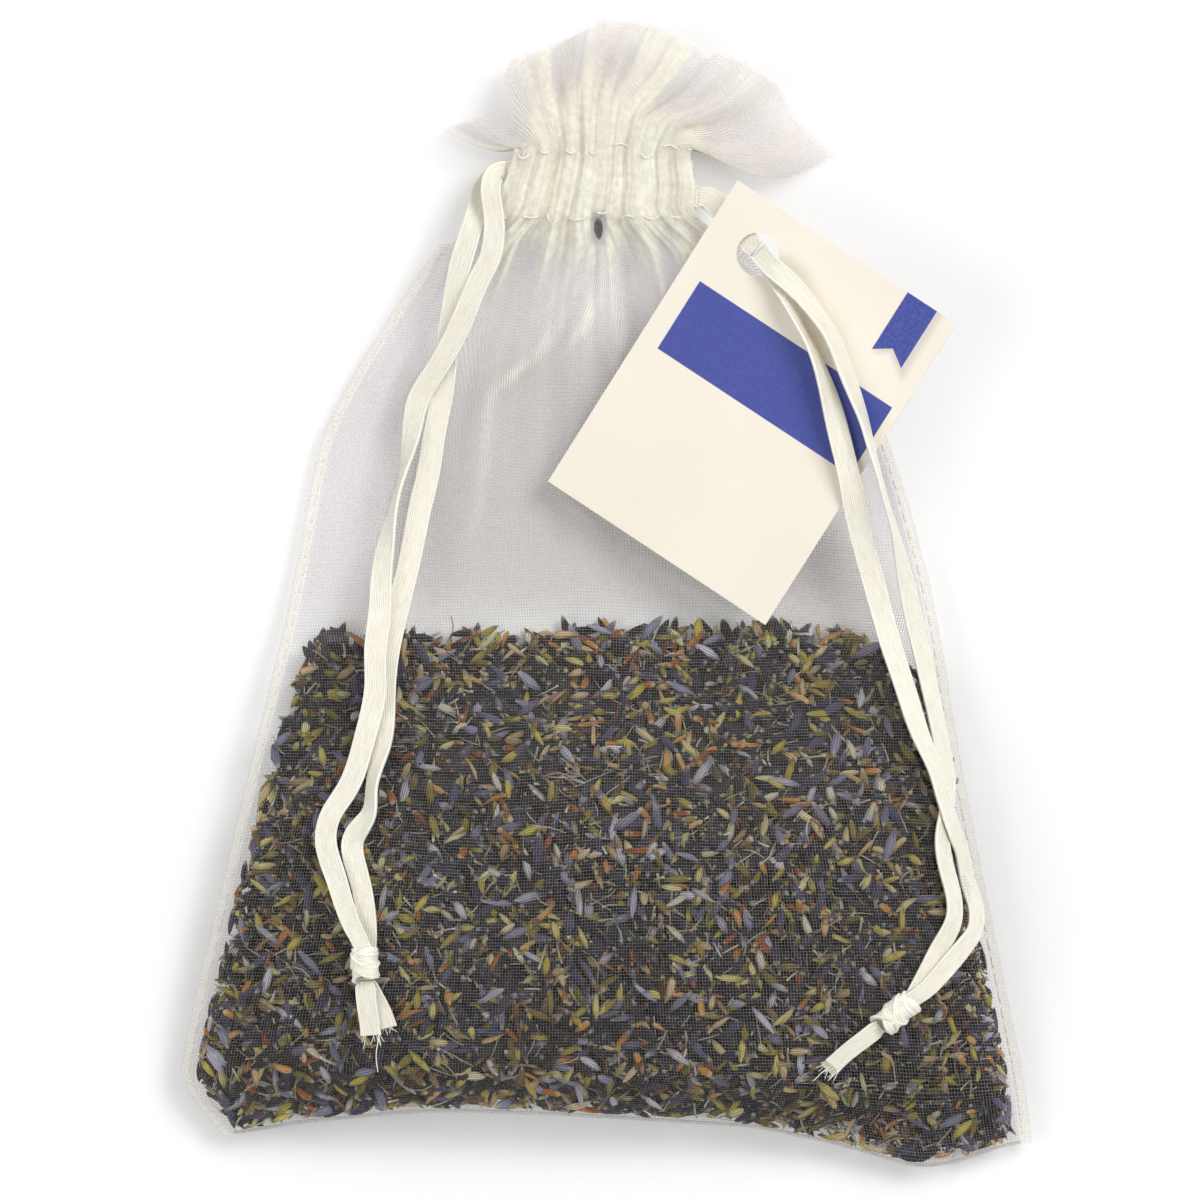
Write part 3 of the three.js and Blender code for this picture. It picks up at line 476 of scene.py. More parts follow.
RIGHT_STRANDS = [
    [
        (19.1, 44.25, 12, -12), (20.4, 42.5, 13.25, -12), (21.6, 40.8, 13.7, 0), (22.7, 38.8, 14.4, 30),
        (24.4, 34.8, 14.7, 70), (26, 31.7, 14.8, 70), (27.2, 28.7, 14.8, 60), (28.2, 25.6, 14.7, 45),
        (29.3, 21.4, 14.4, 25), (30.3, 17.4, 14, 8), (31.2, 13.5, 13.3, 0), (32.2, 8.3, 11.3, 2),
        (33.5, 3.6, 9.7, 6), (34.7, -0.8, 8.7, 12), (36, -5.5, 8.6, 18), (37.3, -9.6, 9.3, 24),
        (38.7, -14, 10.3, 32), (40.2, -18.5, 11.2, 44), (41.9, -22.4, 11.8, 52), (43.2, -26.8, 12.4, 56),
        (44.6, -30.9, 11.8, 56), (45.6, -33.9, 10.2, 54), (46.5, -38, 9.3, 52), (47.3, -40.6, 9.2, 50),
        (47.3, -42.6, 10, 48), (46.2, -44.9, 12.6, 42), (44.2, -47.2, 15, 28), (41.9, -49.8, 15.9, 22),
        (40.3, -51.3, 16.3, 22), (39.1, -52.1, 16.6, 22),
    ],
    [
        (19.1, 44.25, 12.8, -12), (20.5, 42.5, 14.15, -12), (22.2, 41, 15, 5), (23.9, 39.4, 15.3, 28),
        (26.4, 36.4, 15.2, 50), (28.5, 33.3, 15.4, 55), (30.2, 29.1, 15.5, 55), (31.7, 25.2, 15.6, 60),
        (32.8, 22, 15.6, 70), (33.6, 19, 15.6, 75), (34.5, 15.9, 15.1, 80), (35.5, 12.2, 13.7, 80),
        (36.7, 8.2, 11.8, 75), (37.6, 4.4, 10, 60), (38.5, 0.5, 8.5, 45), (39.4, -3.6, 7.7, 40),
        (40.3, -7.3, 7.3, 42), (41.2, -11.4, 7.5, 45), (42.1, -15.6, 8.1, 49), (43, -20, 8.4, 50),
        (43.7, -24.2, 9.1, 53), (43.4, -28.3, 11.4, 56), (42.9, -32, 13.3, 53), (43.4, -35.4, 13.4, 52),
        (44.3, -38.9, 13.2, 52), (44.3, -42.1, 13.9, 46), (42.6, -45.5, 14.7, 29), (41, -48.5, 15.4, 23),
        (39.9, -50.5, 15.7, 22), (39.2, -51.7, 15.8, 22),
    ],
]
LEFT_TAILS = [
    [
        (-31.5, -49.8, 19.4, -11), (-31.3, -52.8, 18.8, -11), (-31, -55, 18.2, -10),
        (-30.8, -56.8, 17.7, -9),
    ],
    [
        (-31.3, -49.8, 18.7, -12), (-29.9, -52.4, 18.3, -13), (-29, -54.3, 18, -13),
        (-28.5, -55.8, 17.6, -12),
    ],
]
RIGHT_TAILS = [
    [
        (34.8, -55.7, 16.7, 20), (32.9, -57.2, 16.7, 20), (30.7, -58.9, 16.5, 20), (28.6, -60.8, 16.1, 21),
    ],
    [
        (34.8, -55.7, 16, 20), (32.6, -57.4, 15.9, 20), (30.2, -59.3, 15.7, 20), (27.9, -61.3, 15.2, 22),
    ],
]
ribbon_weave = ribbon_finish()
sewing_thread = thread_finish("sewing_thread", "efe9d6")


def strip_section(width, curl, count=11, thick=ribbon_thick):
    """Ribbon sections: out over the top and back below, thicker at both edges, the middle lifted by curl."""
    s = np.concatenate([np.linspace(-1, 1, count), np.linspace(1, -1, count)])
    face = np.repeat([1.0, -1.0], count)
    half = thick / 2 * (0.8 + 0.4 * (np.abs(s) > 0.85))
    across = s * np.asarray(width)[:, None] / 2
    out = np.asarray(curl)[:, None] * (1 - s**2) + face * half
    return np.stack([across, out], -1) * MM, (s + 1) / 2


def ribbon(name, route, body, width, curl, seed, steps, side=None, ends=(1.0, 1.0)):
    """A ribbon along a route in millimetres: its side is its run x up, turned back by the route's own turn,
    its edges narrow a little and its middle lifts in slow seeded waves. ends scales its width at either
    end."""
    line = smooth_through(route, steps)
    path = line[:, :3] * MM
    run = unit(np.gradient(path, axis=0))
    if side is None:
        side = unit(np.cross(run, (0.0, 0.0, 1.0)))
        turn = np.radians(-line[:, 3:4])
        side = side * np.cos(turn) + np.cross(run, side) * np.sin(turn)
    length = np.concatenate([[0], np.cumsum(np.linalg.norm(np.diff(path, axis=0), axis=1))]) / MM
    wave = ripples(length, 0 * length + seed, (9.0, 23.0), seed)
    taper = np.interp(length / length[-1], (0, 0.12, 0.88, 1), (ends[0], 1, 1, ends[1]))
    widths = width * (0.96 + 0.07 * wave) * taper
    lift = curl * ripples(length, 0 * length + seed, (6.0, 14.0), seed + 7)
    section, across = strip_section(widths, lift)
    points, faces = swept(path, side, section)
    picks = length / pick_pitch
    uv = np.stack([np.tile(across, steps), np.repeat(picks, section.shape[1])], -1)
    uv = np.concatenate([uv, [[0.5, 0], [0.5, picks[-1]]]])
    thing = piece(name, points, faces, ribbon_weave, body, uv)
    return thing, path, length[-1] * MM


def knot(name, centre, heading, length, width, height, body):
    """Three flat bands wound round the cord's own line inside the knot: each is an ellipse across the line
    whose place along the line sways with its angle, and a fourth is pulled diagonally over the top."""
    angle = math.radians(heading)
    along = np.array([math.cos(angle), math.sin(angle), 0.0])
    across = np.array([-math.sin(angle), math.cos(angle), 0.0])
    up = np.array([0.0, 0.0, 1.0])
    shapes, uvs = [], []
    for offset, sway, size, band, phase in ((-0.27, 0.12, 0.94, 0.5, 0.4), (0.27, -0.12, 0.94, 0.5, 3.6),
                                            (0.0, 0.3, 1.03, 0.42, 2.2), (0.02, -0.22, 0.8, 0.9, 5.0)):
        a = np.linspace(phase, phase + 2 * np.pi * 1.04, 60)
        place = length * (offset + sway * np.sin(a + 0.6))
        path = (np.asarray(centre) + place[:, None] * along + (np.cos(a) * size * width / 2)[:, None] * across
                + (np.sin(a) * size * height / 2)[:, None] * up)
        fold = 0.1 * np.sin(3 * a + phase)
        section, s = strip_section(length * band * (1 + 0.1 * np.sin(2 * a)), fold, 7, 0.42)
        points, faces = swept(path * MM, along, section)
        shapes.append((points, faces))
        uvs.append(np.concatenate([np.stack([np.tile(s * 0.5, 60), np.repeat(a * 5, section.shape[1])], -1),
                                   np.zeros((2, 2))]))
    points, faces = joined(shapes)
    return piece(name, points, faces, ribbon_weave, body, np.concatenate(uvs))


def fibres(route, count, reach, seed):
    """Loose fibres at a ribbon's cut end: thin round threads that fan out from it and droop at their
    tips."""
    radius = 0.05
    source = np.random.default_rng(seed)
    end, before = np.array(route[-1][:3]), np.array(route[-2][:3])
    run = unit(end - before)
    side = unit(np.cross(run, (0, 0, 1.0)))
    shapes = []
    for _ in range(count):
        s = np.linspace(0, 1, 7)[:, None]
        fan, bow = source.uniform(-0.5, 0.5), source.uniform(-0.35, 0.35)
        long = source.uniform(0.4, 1) * reach
        start = end - run * 0.3 + side * source.uniform(-1.1, 1.1)
        path = (start + run * s * long + side * (fan * s + bow * s**2) * long * 0.8
                + [0, 0, 0.15] * s - [0, 0, 0.5] * s**2)
        shapes.append(round_thread(path, side, radius))
    return shapes


# Each side's ribbon ends, with the knot's middle, heading, length, width and height, the tails' widths and
# the loose thread
sides = {
    "left": dict(
        strands=LEFT_STRANDS, tails=LEFT_TAILS, body="left_ends", before="left_loop", widths=(2.7, 2.2),
        knot=(-31.5, -47.7, 19.9, -90, 3.4, 3.2, 2.4),
        thread=[(-30.3, -54.4, 18.3), (-29.8, -56.6, 18.1), (-30.1, -59, 17.4), (-29.9, -61.6, 16.6)]),
    "right": dict(
        strands=RIGHT_STRANDS, tails=RIGHT_TAILS, body="right_ends", before="tag", widths=(2.4, 2.0),
        knot=(36.8, -54.1, 16.8, -141.5, 4.4, 3.0, 2.4),
        thread=[(29, -60.6, 16.1), (27.9, -61.2, 15.9), (26.9, -62.1, 15.6), (26.2, -62.8, 15.2)]),
}
for side_name, facts in sides.items():
    x, y, z, heading, long, wide, high = facts["knot"]
    tie = knot(f"{side_name}_tied_knot", (x, y, z), heading, long, wide, high, facts["body"])
    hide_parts(f"{side_name}_knot")
    for i, route in enumerate(facts["tails"]):
        tail, _, _ = ribbon(f"{side_name}_cut_end_{i + 1}", route, facts["body"], facts["widths"][i], 0.25,
                            31 + i, 60, ends=(0.75, 1.05))
        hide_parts(f"{side_name}_tail_{i + 1}")
    loose_thread = round_thread(smooth_through(facts["thread"], 30), [1.0, 0.3, 0], loose_radius)
    frayed, faces = joined(fibres(facts["tails"][0], 9, 2.2, 5) + fibres(facts["tails"][1], 6, 1.4, 6)
                           + [loose_thread])
    fray = piece(f"{side_name}_frayed_fibres", frayed, faces, sewing_thread, facts["body"])
    for i, route in enumerate(facts["strands"]):
        # the strand's end is tucked into the knot
        tucked = list(route) + [(x, y, z + (0.3, -0.3)[i], route[-1][3])]
        thing, path, length = ribbon(f"{side_name}_ribbon_{i + 1}", tucked, None, ribbon_width, 0.16,
                                     11 + i, 260, ends=(0.9, 0.7))
        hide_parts(f"{side_name}_strand_{i + 1}")
        start = np.array(route[0][:3]) * MM
        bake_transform(thing)
for i, route in enumerate(RIGHT_LEADS):
    start, end = (np.array(route[k][:3]) * MM for k in (0, -1))
    thing, _, _ = ribbon(f"right_lead_ribbon_{i + 1}", route, None, ribbon_width, 0.1, 21 + i, 60,
                         ends=(0.8, 0.8))
    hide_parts(f"right_lead_{i + 1}")
    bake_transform(thing)
for side_name, sign, end, y in (("left", -1, -12.95, 54.7), ("right", 1, 11.05, 51.4)):
    # the held stretch: along the front channel, round the far end and back behind
    bend = np.linspace(-np.pi / 2, np.pi / 2, 9)
    bend_radius = (loop_front - loop_back) / 2
    around = np.stack([end - sign * (loop_reach + bend_radius * np.cos(bend)), 0 * bend + y,
                       neck_middle - bend_radius * np.sin(bend)], -1)
    out = [(end - sign * inwards, y, loop_front) for inwards in (-0.4, 5, 12)]
    route = np.concatenate([out, around, [(px, py, loop_back) for px, py, _ in out[::-1]]])
    thing, _, _ = ribbon(f"{side_name}_ribbon_in_casing", route, f"{side_name}_loop", 2.9, 0.1, 51, 160,
                         side=(0, sign, 0))
    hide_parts(f"{side_name}_ribbon_loop")


# Bag cloth
body_rows, casing_rows, ruffle_rows = 18, 2, 5


def pleat_at(across):
    """Depth share of the gathers: eight rounded pleats, deep as the table says, 0 in each valley."""
    place = np.clip(across, 0, 0.99999) * len(PLEATS)
    return PLEATS[place.astype(int)] * np.abs(np.sin(np.pi * place)) ** 0.85


def place_on_body(across, along, inset=0.0):
    """Between the two side edges, with the bottom fold's bow fading upwards."""
    edge = curve_at(EDGES, along)
    fade = np.maximum(0, 1 - along / 0.3) ** 2
    x = mix(edge[..., 0] + inset, edge[..., 2] - inset, across)
    y = mix(edge[..., 1], edge[..., 3], across) + fade * fold_bow * from_table(FOLD, across, 0.03)
    return x, y


def side_height(y):
    return fill_height * from_table(SIDE, y / bag_length, 0.015)


def heights(across, y, rise, pleat):
    """Tops of the front panel and undersides of the back panel: a crown between the side edges on the front,
    and a flat back that comes up to the sides and, over rise from the bottom fold, up to the fold."""
    t = np.abs(2 * across - 1)
    share = y / bag_length
    slit = from_table(SLIT, share)
    base = mix(fill_height * from_table(BELLY, share, 0.015), neck_middle + neck_half, slit)
    crown = mix(np.sqrt(np.maximum(0, 1 - t**2.6)), 1, slit)
    gather = from_table(GATHER, share, 0.02) * (1 - (1 - slit) * t**8)
    front = mix(side_height(y) + edge_half, base, crown) + gather * (front_lift + front_pleat * pleat)
    side = np.maximum(0, (t - 0.6) / 0.4) ** 2.2
    fold = np.maximum(0, 1 - rise / fold_rise) ** 2.2
    low_y = place_on_body(across, np.zeros_like(across))[1]
    crown_low = np.sqrt(np.maximum(0, 1 - t**2.6))
    belly_low = fill_height * from_table(BELLY, low_y / bag_length, 0.015)
    fold_height = mix(side_height(low_y) + edge_half, belly_low, crown_low) - 2 * edge_half
    lifted = np.maximum(side * (side_height(y) - edge_half), fold * fold_height)
    back = lifted * (1 - slit) + pleat_depth * gather * (1 - pleat)
    return front, back


def cloth_rows(columns, inset=1.5):
    """Places and heights of both panels, row by row: body, casing and ruffle, each of columns + 1 points."""
    across = np.linspace(0, 1, columns + 1)[None]
    along = np.linspace(0, 1, body_rows + 1)[:, None]
    x, y = place_on_body(across + 0 * along, along + 0 * across, inset)
    pleat = pleat_at(across + 0 * along)
    front, back = heights(across + 0 * along, y, y - y[:1], pleat)
    rows = [(x, y, front, back)]
    casing_y = np.linspace(casing_bottom, casing_top, casing_rows + 1)[:, None] + 0 * across
    depth = pleat_at(across) + 0 * casing_y
    flare = eased(casing_top, casing_bottom - 1, casing_y)
    casing_x = mix(neck_left - left_flare * flare, neck_right + right_flare * flare, across)
    rows.append((casing_x, casing_y, neck_middle + neck_half + front_lift + front_pleat * depth,
                 neck_middle - neck_half - pleat_depth * depth))
    r = np.linspace(0, 1, ruffle_rows + 1)[1:, None]

    def rim_side(start, wing, tip):
        """Cubic Bezier from the casing's end, level at first, by the wing to the tip."""
        level = (mix(start, wing[0], 0.5), casing_top)
        a, b, c, d = (np.array(point) for point in ((start, casing_top), level, wing, tip))
        return (1 - r)**3 * a + 3 * (1 - r)**2 * r * b + 3 * (1 - r) * r**2 * c + r**3 * d

    left, right = rim_side(neck_left, (-18, 58), (-22.1, 60.3)), rim_side(neck_right, (19, 50), (29, 56.8))
    middle = neck_middle + r * ruffle_wave * from_table(WAVE, across, 0.03)
    spread = mix(neck_half, ruffle_spread, r)
    pleat = (1 - 0.7 * r) * pleat_at(across)
    y = mix(left[:, 1:], right[:, 1:], across) + r**0.6 * ruffle_lift * from_table(RIM, across, 0.012)
    front = middle + spread + (1 - 0.7 * r) * front_lift + front_pleat * pleat
    rows.append((mix(left[:, :1], right[:, :1], across), y, front, middle - spread - pleat_depth * pleat))
    return [np.concatenate(parts) for parts in zip(*rows)]


def finer(rows, steps):
    """The rows' curve from row to row, at steps places between each two."""
    return curve_at(rows, np.linspace(0, 1, (len(rows) - 1) * steps + 1))


def heap_edge(px):
    """Upper edge of the heap: ragged, and lower towards both shoulders, more gently at the right."""
    shoulders = 5 * np.clip((px - 24) / 16, 0, 1.5) ** 2 + 5.5 * np.clip((-35.5 - px) / 4.5, 0, 1.6) ** 2
    return heap_top + heap_ragged * 0.75 * ripples(px, 0 * px, (7, 17), 23) - shoulders


columns, steps = 208, 9
x, y, front, back = (finer(rows, steps) for rows in cloth_rows(columns))
across = np.linspace(0, 1, columns + 1)[None] + 0 * x
neck_row = body_rows * steps
row_number = np.arange(len(x))[:, None] + 0 * x
in_ruffle = np.clip((row_number - (body_rows + 1 + casing_rows) * steps) / (ruffle_rows * steps), 0, 1)


def gathers(counts, seed, drift=0.05):
    """Folds that run up the bag: sine waves across the cut, counts of them, whose phases drift slowly with
    y."""
    source = np.random.default_rng(seed)
    total = 0 * across
    for count in counts:
        phase, sway = source.uniform(0, 2 * np.pi), source.uniform(0.5, 1.5) * drift
        pace = source.uniform(15, 30)
        total += np.sin(2 * np.pi * count * (across + sway * np.sin(y / pace + phase)) + phase)
    return total / len(counts)


# The main creases that run down from the neck, from left to right: points x and y from the top, and the side
# on which each fades slowly, seen down its run
CREASES = [
    ([(-11.4, 50.3), (-13.4, 43.4), (-14.7, 36.3)], 1),
    ([(-7.2, 50.1), (-7.9, 43.8), (-9.6, 37.2)], 1),
    ([(-3.0, 50), (-4.6, 43), (-8.6, 35.6)], -1),
    ([(-1, 46.2), (-6, 36.5), (-10.9, 29.6), (-15.1, 26.3), (-15.9, 22.8), (-16.6, 14.4),
      (-18.6, 5.6)], -1),
    ([(-0.8, 46.4), (-2.2, 36.5), (-6, 31.2), (-8.3, 28.1)], 1),
    ([(-0.3, 46.9), (0.7, 38.1), (1.8, 29.8)], -1),
    ([(3.9, 50), (6.2, 41.1), (8.1, 36.2)], -1),
    ([(8.3, 50), (11.4, 41.5), (15.6, 33.8)], -1),
]
crease_width, crease_fade = 1.25, 3.2


def creases(px, py):
    """Nearness to the creases, 0 to 1: a narrow bell with a slow fade on one side, dying out at both
    ends."""
    total = 0 * px
    for points, side in CREASES:
        line = smooth_through(points, 40)
        run = unit(np.gradient(line, axis=0))
        gaps = np.hypot(px[..., None] - line[:, 0], py[..., None] - line[:, 1])
        near = gaps.argmin(-1)
        gap = gaps.min(-1)
        aside = run[near, 0] * (py - line[near, 1]) - run[near, 1] * (px - line[near, 0])
        slow = 0.4 * np.exp(-gap / crease_fade) * eased(0, 0.6, side * aside)
        ends = np.sin(np.pi * np.clip(near / 39 * 0.86 + 0.12, 0, 1)) ** 0.7
        total = np.maximum(total, np.maximum(np.exp(-(gap / crease_width) ** 2), slow) * ends)
    return total


creased = creases(x, y)
drawn = eased(14, 47, y)
loose = eased(-8, 12, y) * (1 - eased(40, 52, y))
pinched = drawn * (1 - 0.75 * in_ruffle) * (1 - 0.5 * eased(45, 50, y))
fine = pinched * (0.32 * gathers((17, 29), 3) + 0.42 * gathers((11.5,), 4, 0.06))
tucked = drawn * (0.9 * gathers((19, 27), 8, 0.03) + 0.6 * gathers((13,), 9, 0.04))
# the back's folds stay out of the casing, where the ribbons run
tucked = mix(tucked, -np.abs(tucked), eased(43, 48.5, y))
crumple = (0.25 + 0.5 * loose) * ripples(x, y, (11, 19), 5, 0.6) + 0.12 * ripples(x, y, (4.5,), 6)
down = gathers((6, 9.5), 35)
flutes = in_ruffle * 1.5 * gathers((4.2, 6.7), 37, 0.02)
# no fold moves the side edges
edge_keep = eased(0, 0.07, across) * eased(0, 0.07, 1 - across)
front_z = front + edge_keep * (crumple + fine + 1.2 * loose * down + flutes) + 0.7 * creased
# pressed down under the card's corner and where the right ribbon swings over the shoulder: x, y, reach and
# depth
for px, py, reach, depth in ((-4.5, 14.2, 6.0, 1.0), (12.4, 47.2, 3.2, 2.2)):
    front_z -= depth * np.exp(-((x - px)**2 + (y - py)**2) / reach**2)
back_z = np.maximum(back + edge_keep * (0.6 * flutes + tucked + 0.8 * loose * (1 + down)), 0.02)


def bare_spot(px, py):
    """Where the cloth lies open over the lone bud below the casing, 0 to 1."""
    return 0.9 * np.exp(-((px - lone_bud[0]) / 1.1) ** 4 - ((py - lone_bud[1]) / 2.2) ** 4)


def crowding(seed, crease=0.0):
    """How crowded the threads are, 0 to 1: at the drawn neck, along the folds that run from it, in the
    ruffle, and by the share crease along the creases."""
    neck = eased(40, 51, y) * (1 - eased(0, 0.8, in_ruffle))
    uneven = 1 + 0.35 * ripples(x, y, (2.4, 5.0), seed, 0.4)
    folds = np.clip(gathers((7, 12, 19), seed, 0.02) * 1.4, 0, 1) * eased(10, 45, y) * (1 - in_ruffle)
    bands = np.clip(gathers((5.2, 8.3), seed + 1, 0.01) * 1.6 - 0.1, 0, 1) * eased(0, 0.3, in_ruffle)
    drawn_in = np.exp(-((y - 53.6) / 2.0) ** 2) * (in_ruffle == 0)
    middle = np.exp(-((across - 0.5) / 0.32) ** 4)
    total = (neck * (0.42 + 0.2 * middle) * uneven + 0.2 * folds + bands * (0.12 + 0.4 * middle)
             + 0.2 * drawn_in + 0.06 * in_ruffle + 0.4 * crease)
    return np.clip(total * (1 - bare_spot(x, y)), 0, 1)


near_side = np.minimum(across, 1 - across)
sides_share = np.exp(-(near_side / 0.16) ** 2)
# how much painted light the threads get, as if from the white table under the cloth, 0 to 1, the rest being
# painted shade: none over the heap, little in the middle of the bag, much at its sides and near the neck, and
# all of it in the ruffle
middle = 0.12 + 0.15 * eased(8, 30, y) + 0.6 * eased(26, 46, y)
lit = np.maximum(mix(middle, 0.9, sides_share) * eased(-8, 2, y), eased(46, 58, y))
# how much painted shade the holes carry, 0 to 1: a little over the heap and in the bag above it
inset = near_side * (x[:, -1:] - x[:, :1])
heap = eased(0.8, 3.2, inset) * eased(0.6, 3.0, y - y[:1]) * eased(-0.8, 0.4, heap_edge(x) - y)
above = (1 - 0.5 * sides_share) * eased(-6, 2, y) * (1 - eased(26, 42, y))
shade_in_holes = 0.15 * heap + 0.15 * above
# each cloth's colour pairs: shaded grey for painted shade, lit tone for painted light, and the ivory of
# crowded cloth
cloths = {slot: organza_finish(slot, *looks) for slot, looks in {
    "organza": (("c2bcb4", "b4aea6"), ("f1e9ef", "e7dfe6"), ("fffcee", "faf5e3"), 0.056),
    "doubled_organza": (("d8d2cc", "c6c0ba"), ("fbf6ee", "f3ece3"), ("fffdf0", "fbf6e4"), 0.08, 0.06),
}.items()}


def cloth_piece(name, places, threads, slot, values, down=False):
    """A grid of cloth on the bag: places in millimetres, UV map in threads, its values, and whether it faces
    down."""
    faces = grid_faces(*places[0].shape)
    return piece(name, np.stack(places, -1).reshape(-1, 3) * MM, faces[:, ::-1] if down else faces,
                 cloths[slot], "bag", np.stack(threads, -1).reshape(-1, 2), values)


# One sheet: up the back from ruffle to bottom fold, round a half roll there, and up the front
roll = np.linspace(0, np.pi, 11)[1:-1][:, None]
low_y = place_on_body(across[:1], 0 * across[:1])[1]
half_gap = (front_z[:1] - back_z[:1]) / 2
roll_x = x[:1] + 0 * roll
roll_y = np.minimum(y[:1], low_y + 0.2) - seam_overhang * np.sin(roll) + 0 * x[:1]
roll_z = (front_z[:1] + back_z[:1]) / 2 - half_gap * np.cos(roll)
sheet_x = np.concatenate([x[::-1], roll_x, x])
sheet_y = np.concatenate([y[::-1], roll_y + seam_overhang, y])
sheet_z = np.concatenate([back_z[::-1], roll_z, front_z])
sheet_crowd = np.concatenate([crowding(12)[::-1], 0 * roll_x + 0.25, crowding(9, creased)])
sheet_lit = np.concatenate([lit[::-1], 0 * roll_x + 0.6, lit])
sheet_shade_in_holes = np.concatenate([shade_in_holes[::-1], 0 * roll_x, shade_in_holes])
steps_apart = np.sqrt(sum(np.diff(part, axis=0)**2 for part in (sheet_x, sheet_y, sheet_z))).mean(1)
along = np.concatenate([[0], np.cumsum(steps_apart)])[:, None]
sheet_across = np.linspace(0, 1, columns + 1)[None] + 0 * sheet_x
# the threads wander a little from straight, as the cloth was pulled about
pulled = 2.5 + 10 * eased(-5, 25, sheet_y)
stray = [pulled * ripples(sheet_across * 110, along, (34, 55), seed) for seed in (61, 62)]
# between heap and neck much of the width hides in folds, and the cloth between them keeps its own pitch
hidden = 0.75 * eased(-25, 8, sheet_y) * (1 - eased(34, 47, sheet_y))
thread_place = mix(sheet_across * flat_width, sheet_x + flat_width / 2, hidden)
cloth = cloth_piece("bag_cloth", (sheet_x, sheet_y, sheet_z),
                    (thread_place / thread_pitch + stray[0], along / thread_pitch + stray[1]), "organza",
                    {"crowd": sheet_crowd, "lit": sheet_lit, "shade_in_holes": sheet_shade_in_holes})
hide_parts("front_panel", "back_panel", "bottom_fold")

# Turned-in hems, a second layer inside the casing and the ruffle
hem_start = (body_rows + 1) * steps
for hem_name, face, sign in (("front", front_z, -1), ("back", back_z, 1)):
    part = slice(hem_start, None)
    inner = face[part] + sign * (0.42 + 0.18 * ripples(across[part] * 90, y[part], (5.0, 9.0), 14 + sign))
    hx, hy = x[part] * 0.99, y[part] - 0.35 * in_ruffle[part]
    hem = cloth_piece(f"{hem_name}_turned_hem", (hx, hy, inner),
                      (across[part] * flat_width / thread_pitch + 0.4, hy / thread_pitch), "doubled_organza",
                      {"crowd": crowding(20 + sign)[part], "lit": lit[part], "shade_in_holes": 0 * hx}, down=sign > 0)
    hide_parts(f"{hem_name}_facing")

# Side seams: the edges folded in, a narrow doubled strip round both panels' edges
for seam_name, edge in (("left", 0.0), ("right", 1.0)):
    inward = 1 - 2 * edge
    along = np.linspace(0, 1, 260)[:, None]
    turn = np.linspace(0, np.pi, 13)[None]
    ex, ey = place_on_body(edge + 0 * along, along)
    length = np.cumsum(np.concatenate([[0], np.hypot(np.diff(ex[:, 0]), np.diff(ey[:, 0]))]))[:, None]
    rough = 0.12 * ripples(length, 0 * length, (2.2, 5.5), 17)
    depth = np.pad(seam_round * (1 - np.sin(turn)), ((0, 0), (1, 1)), constant_values=seam_depth)
    height = seam_half * np.pad(np.cos(turn), ((0, 0), (1, 1)), mode="edge")
    px = ex + inward * (depth + rough)
    seam = cloth_piece(f"{seam_name}_folded_seam", (px, ey + 0 * px, side_height(ey) + height),
                       (depth / thread_pitch + 0 * ex, length / thread_pitch + 0 * depth), "doubled_organza",
                       {"crowd": 0.2 + 0 * px, "lit": 0.75 + 0 * px, "shade_in_holes": 0 * px}, down=edge == 0)
    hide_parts(f"{seam_name}_side_seam")


# Lavender
def sample(grid, u, v):
    """The grid's value at column share u and row number v, from the four points round it."""
    c, r = u * (grid.shape[1] - 1), v
    i, j = np.minimum(r.astype(int), grid.shape[0] - 2), np.minimum(c.astype(int), grid.shape[1] - 2)
    a, b = r - i, c - j
    return ((grid[i, j] * (1 - b) + grid[i, j + 1] * b) * (1 - a)
            + (grid[i + 1, j] * (1 - b) + grid[i + 1, j + 1] * b) * a)


def dip_at(px, py):
    """Depth of the dips between the heap's lumps, 0 to 1: a product of two waves, each led astray by the
    other."""
    a, b = 2 * np.pi * px / lump_spacing, 2 * np.pi * py / lump_spacing
    return (1 - np.sin(a + np.sin(0.37 * b)) * np.sin(b + np.sin(0.37 * a))) / 2


def row_at(u, py):
    """Row number where column share u reaches py: from the middle column, closed in on in four rounds."""
    v = np.interp(py, y[:neck_row, columns // 2], np.arange(neck_row))
    for _ in range(4):
        pace = sample(y, u, v + 1) - sample(y, u, v)
        v = np.clip(v + (py - sample(y, u, v)) / pace, 0, neck_row - 2)
    return v


def locate(px, py):
    """Column share and row number of a place on the body, and its distance to the nearest edge of the
    cloth."""
    u = 0.5 + 0 * px
    for _ in range(3):
        v = row_at(u, py)
        left, right = sample(x, 0 * u, v), sample(x, 0 * u + 1, v)
        u = np.clip((px - left) / (right - left), 0, 1)
    return u, row_at(u, py), np.minimum(np.minimum(px - left, right - px), py - sample(y, u, 0 * u))


def heap_surface(u, v, px, py):
    """Heights of the heap's lumpy upper side and of its floor, thinning towards the upper edge."""
    floor = sample(back_z, u, v) + heap_gap
    share = from_table(HEAP_EDGE, (heap_edge(px) - py) / heap_slope)
    thick = (sample(front_z, u, v) - heap_gap - floor) * share
    return floor + thick - np.minimum(lump_depth, 0.4 * thick) * dip_at(px, py), floor


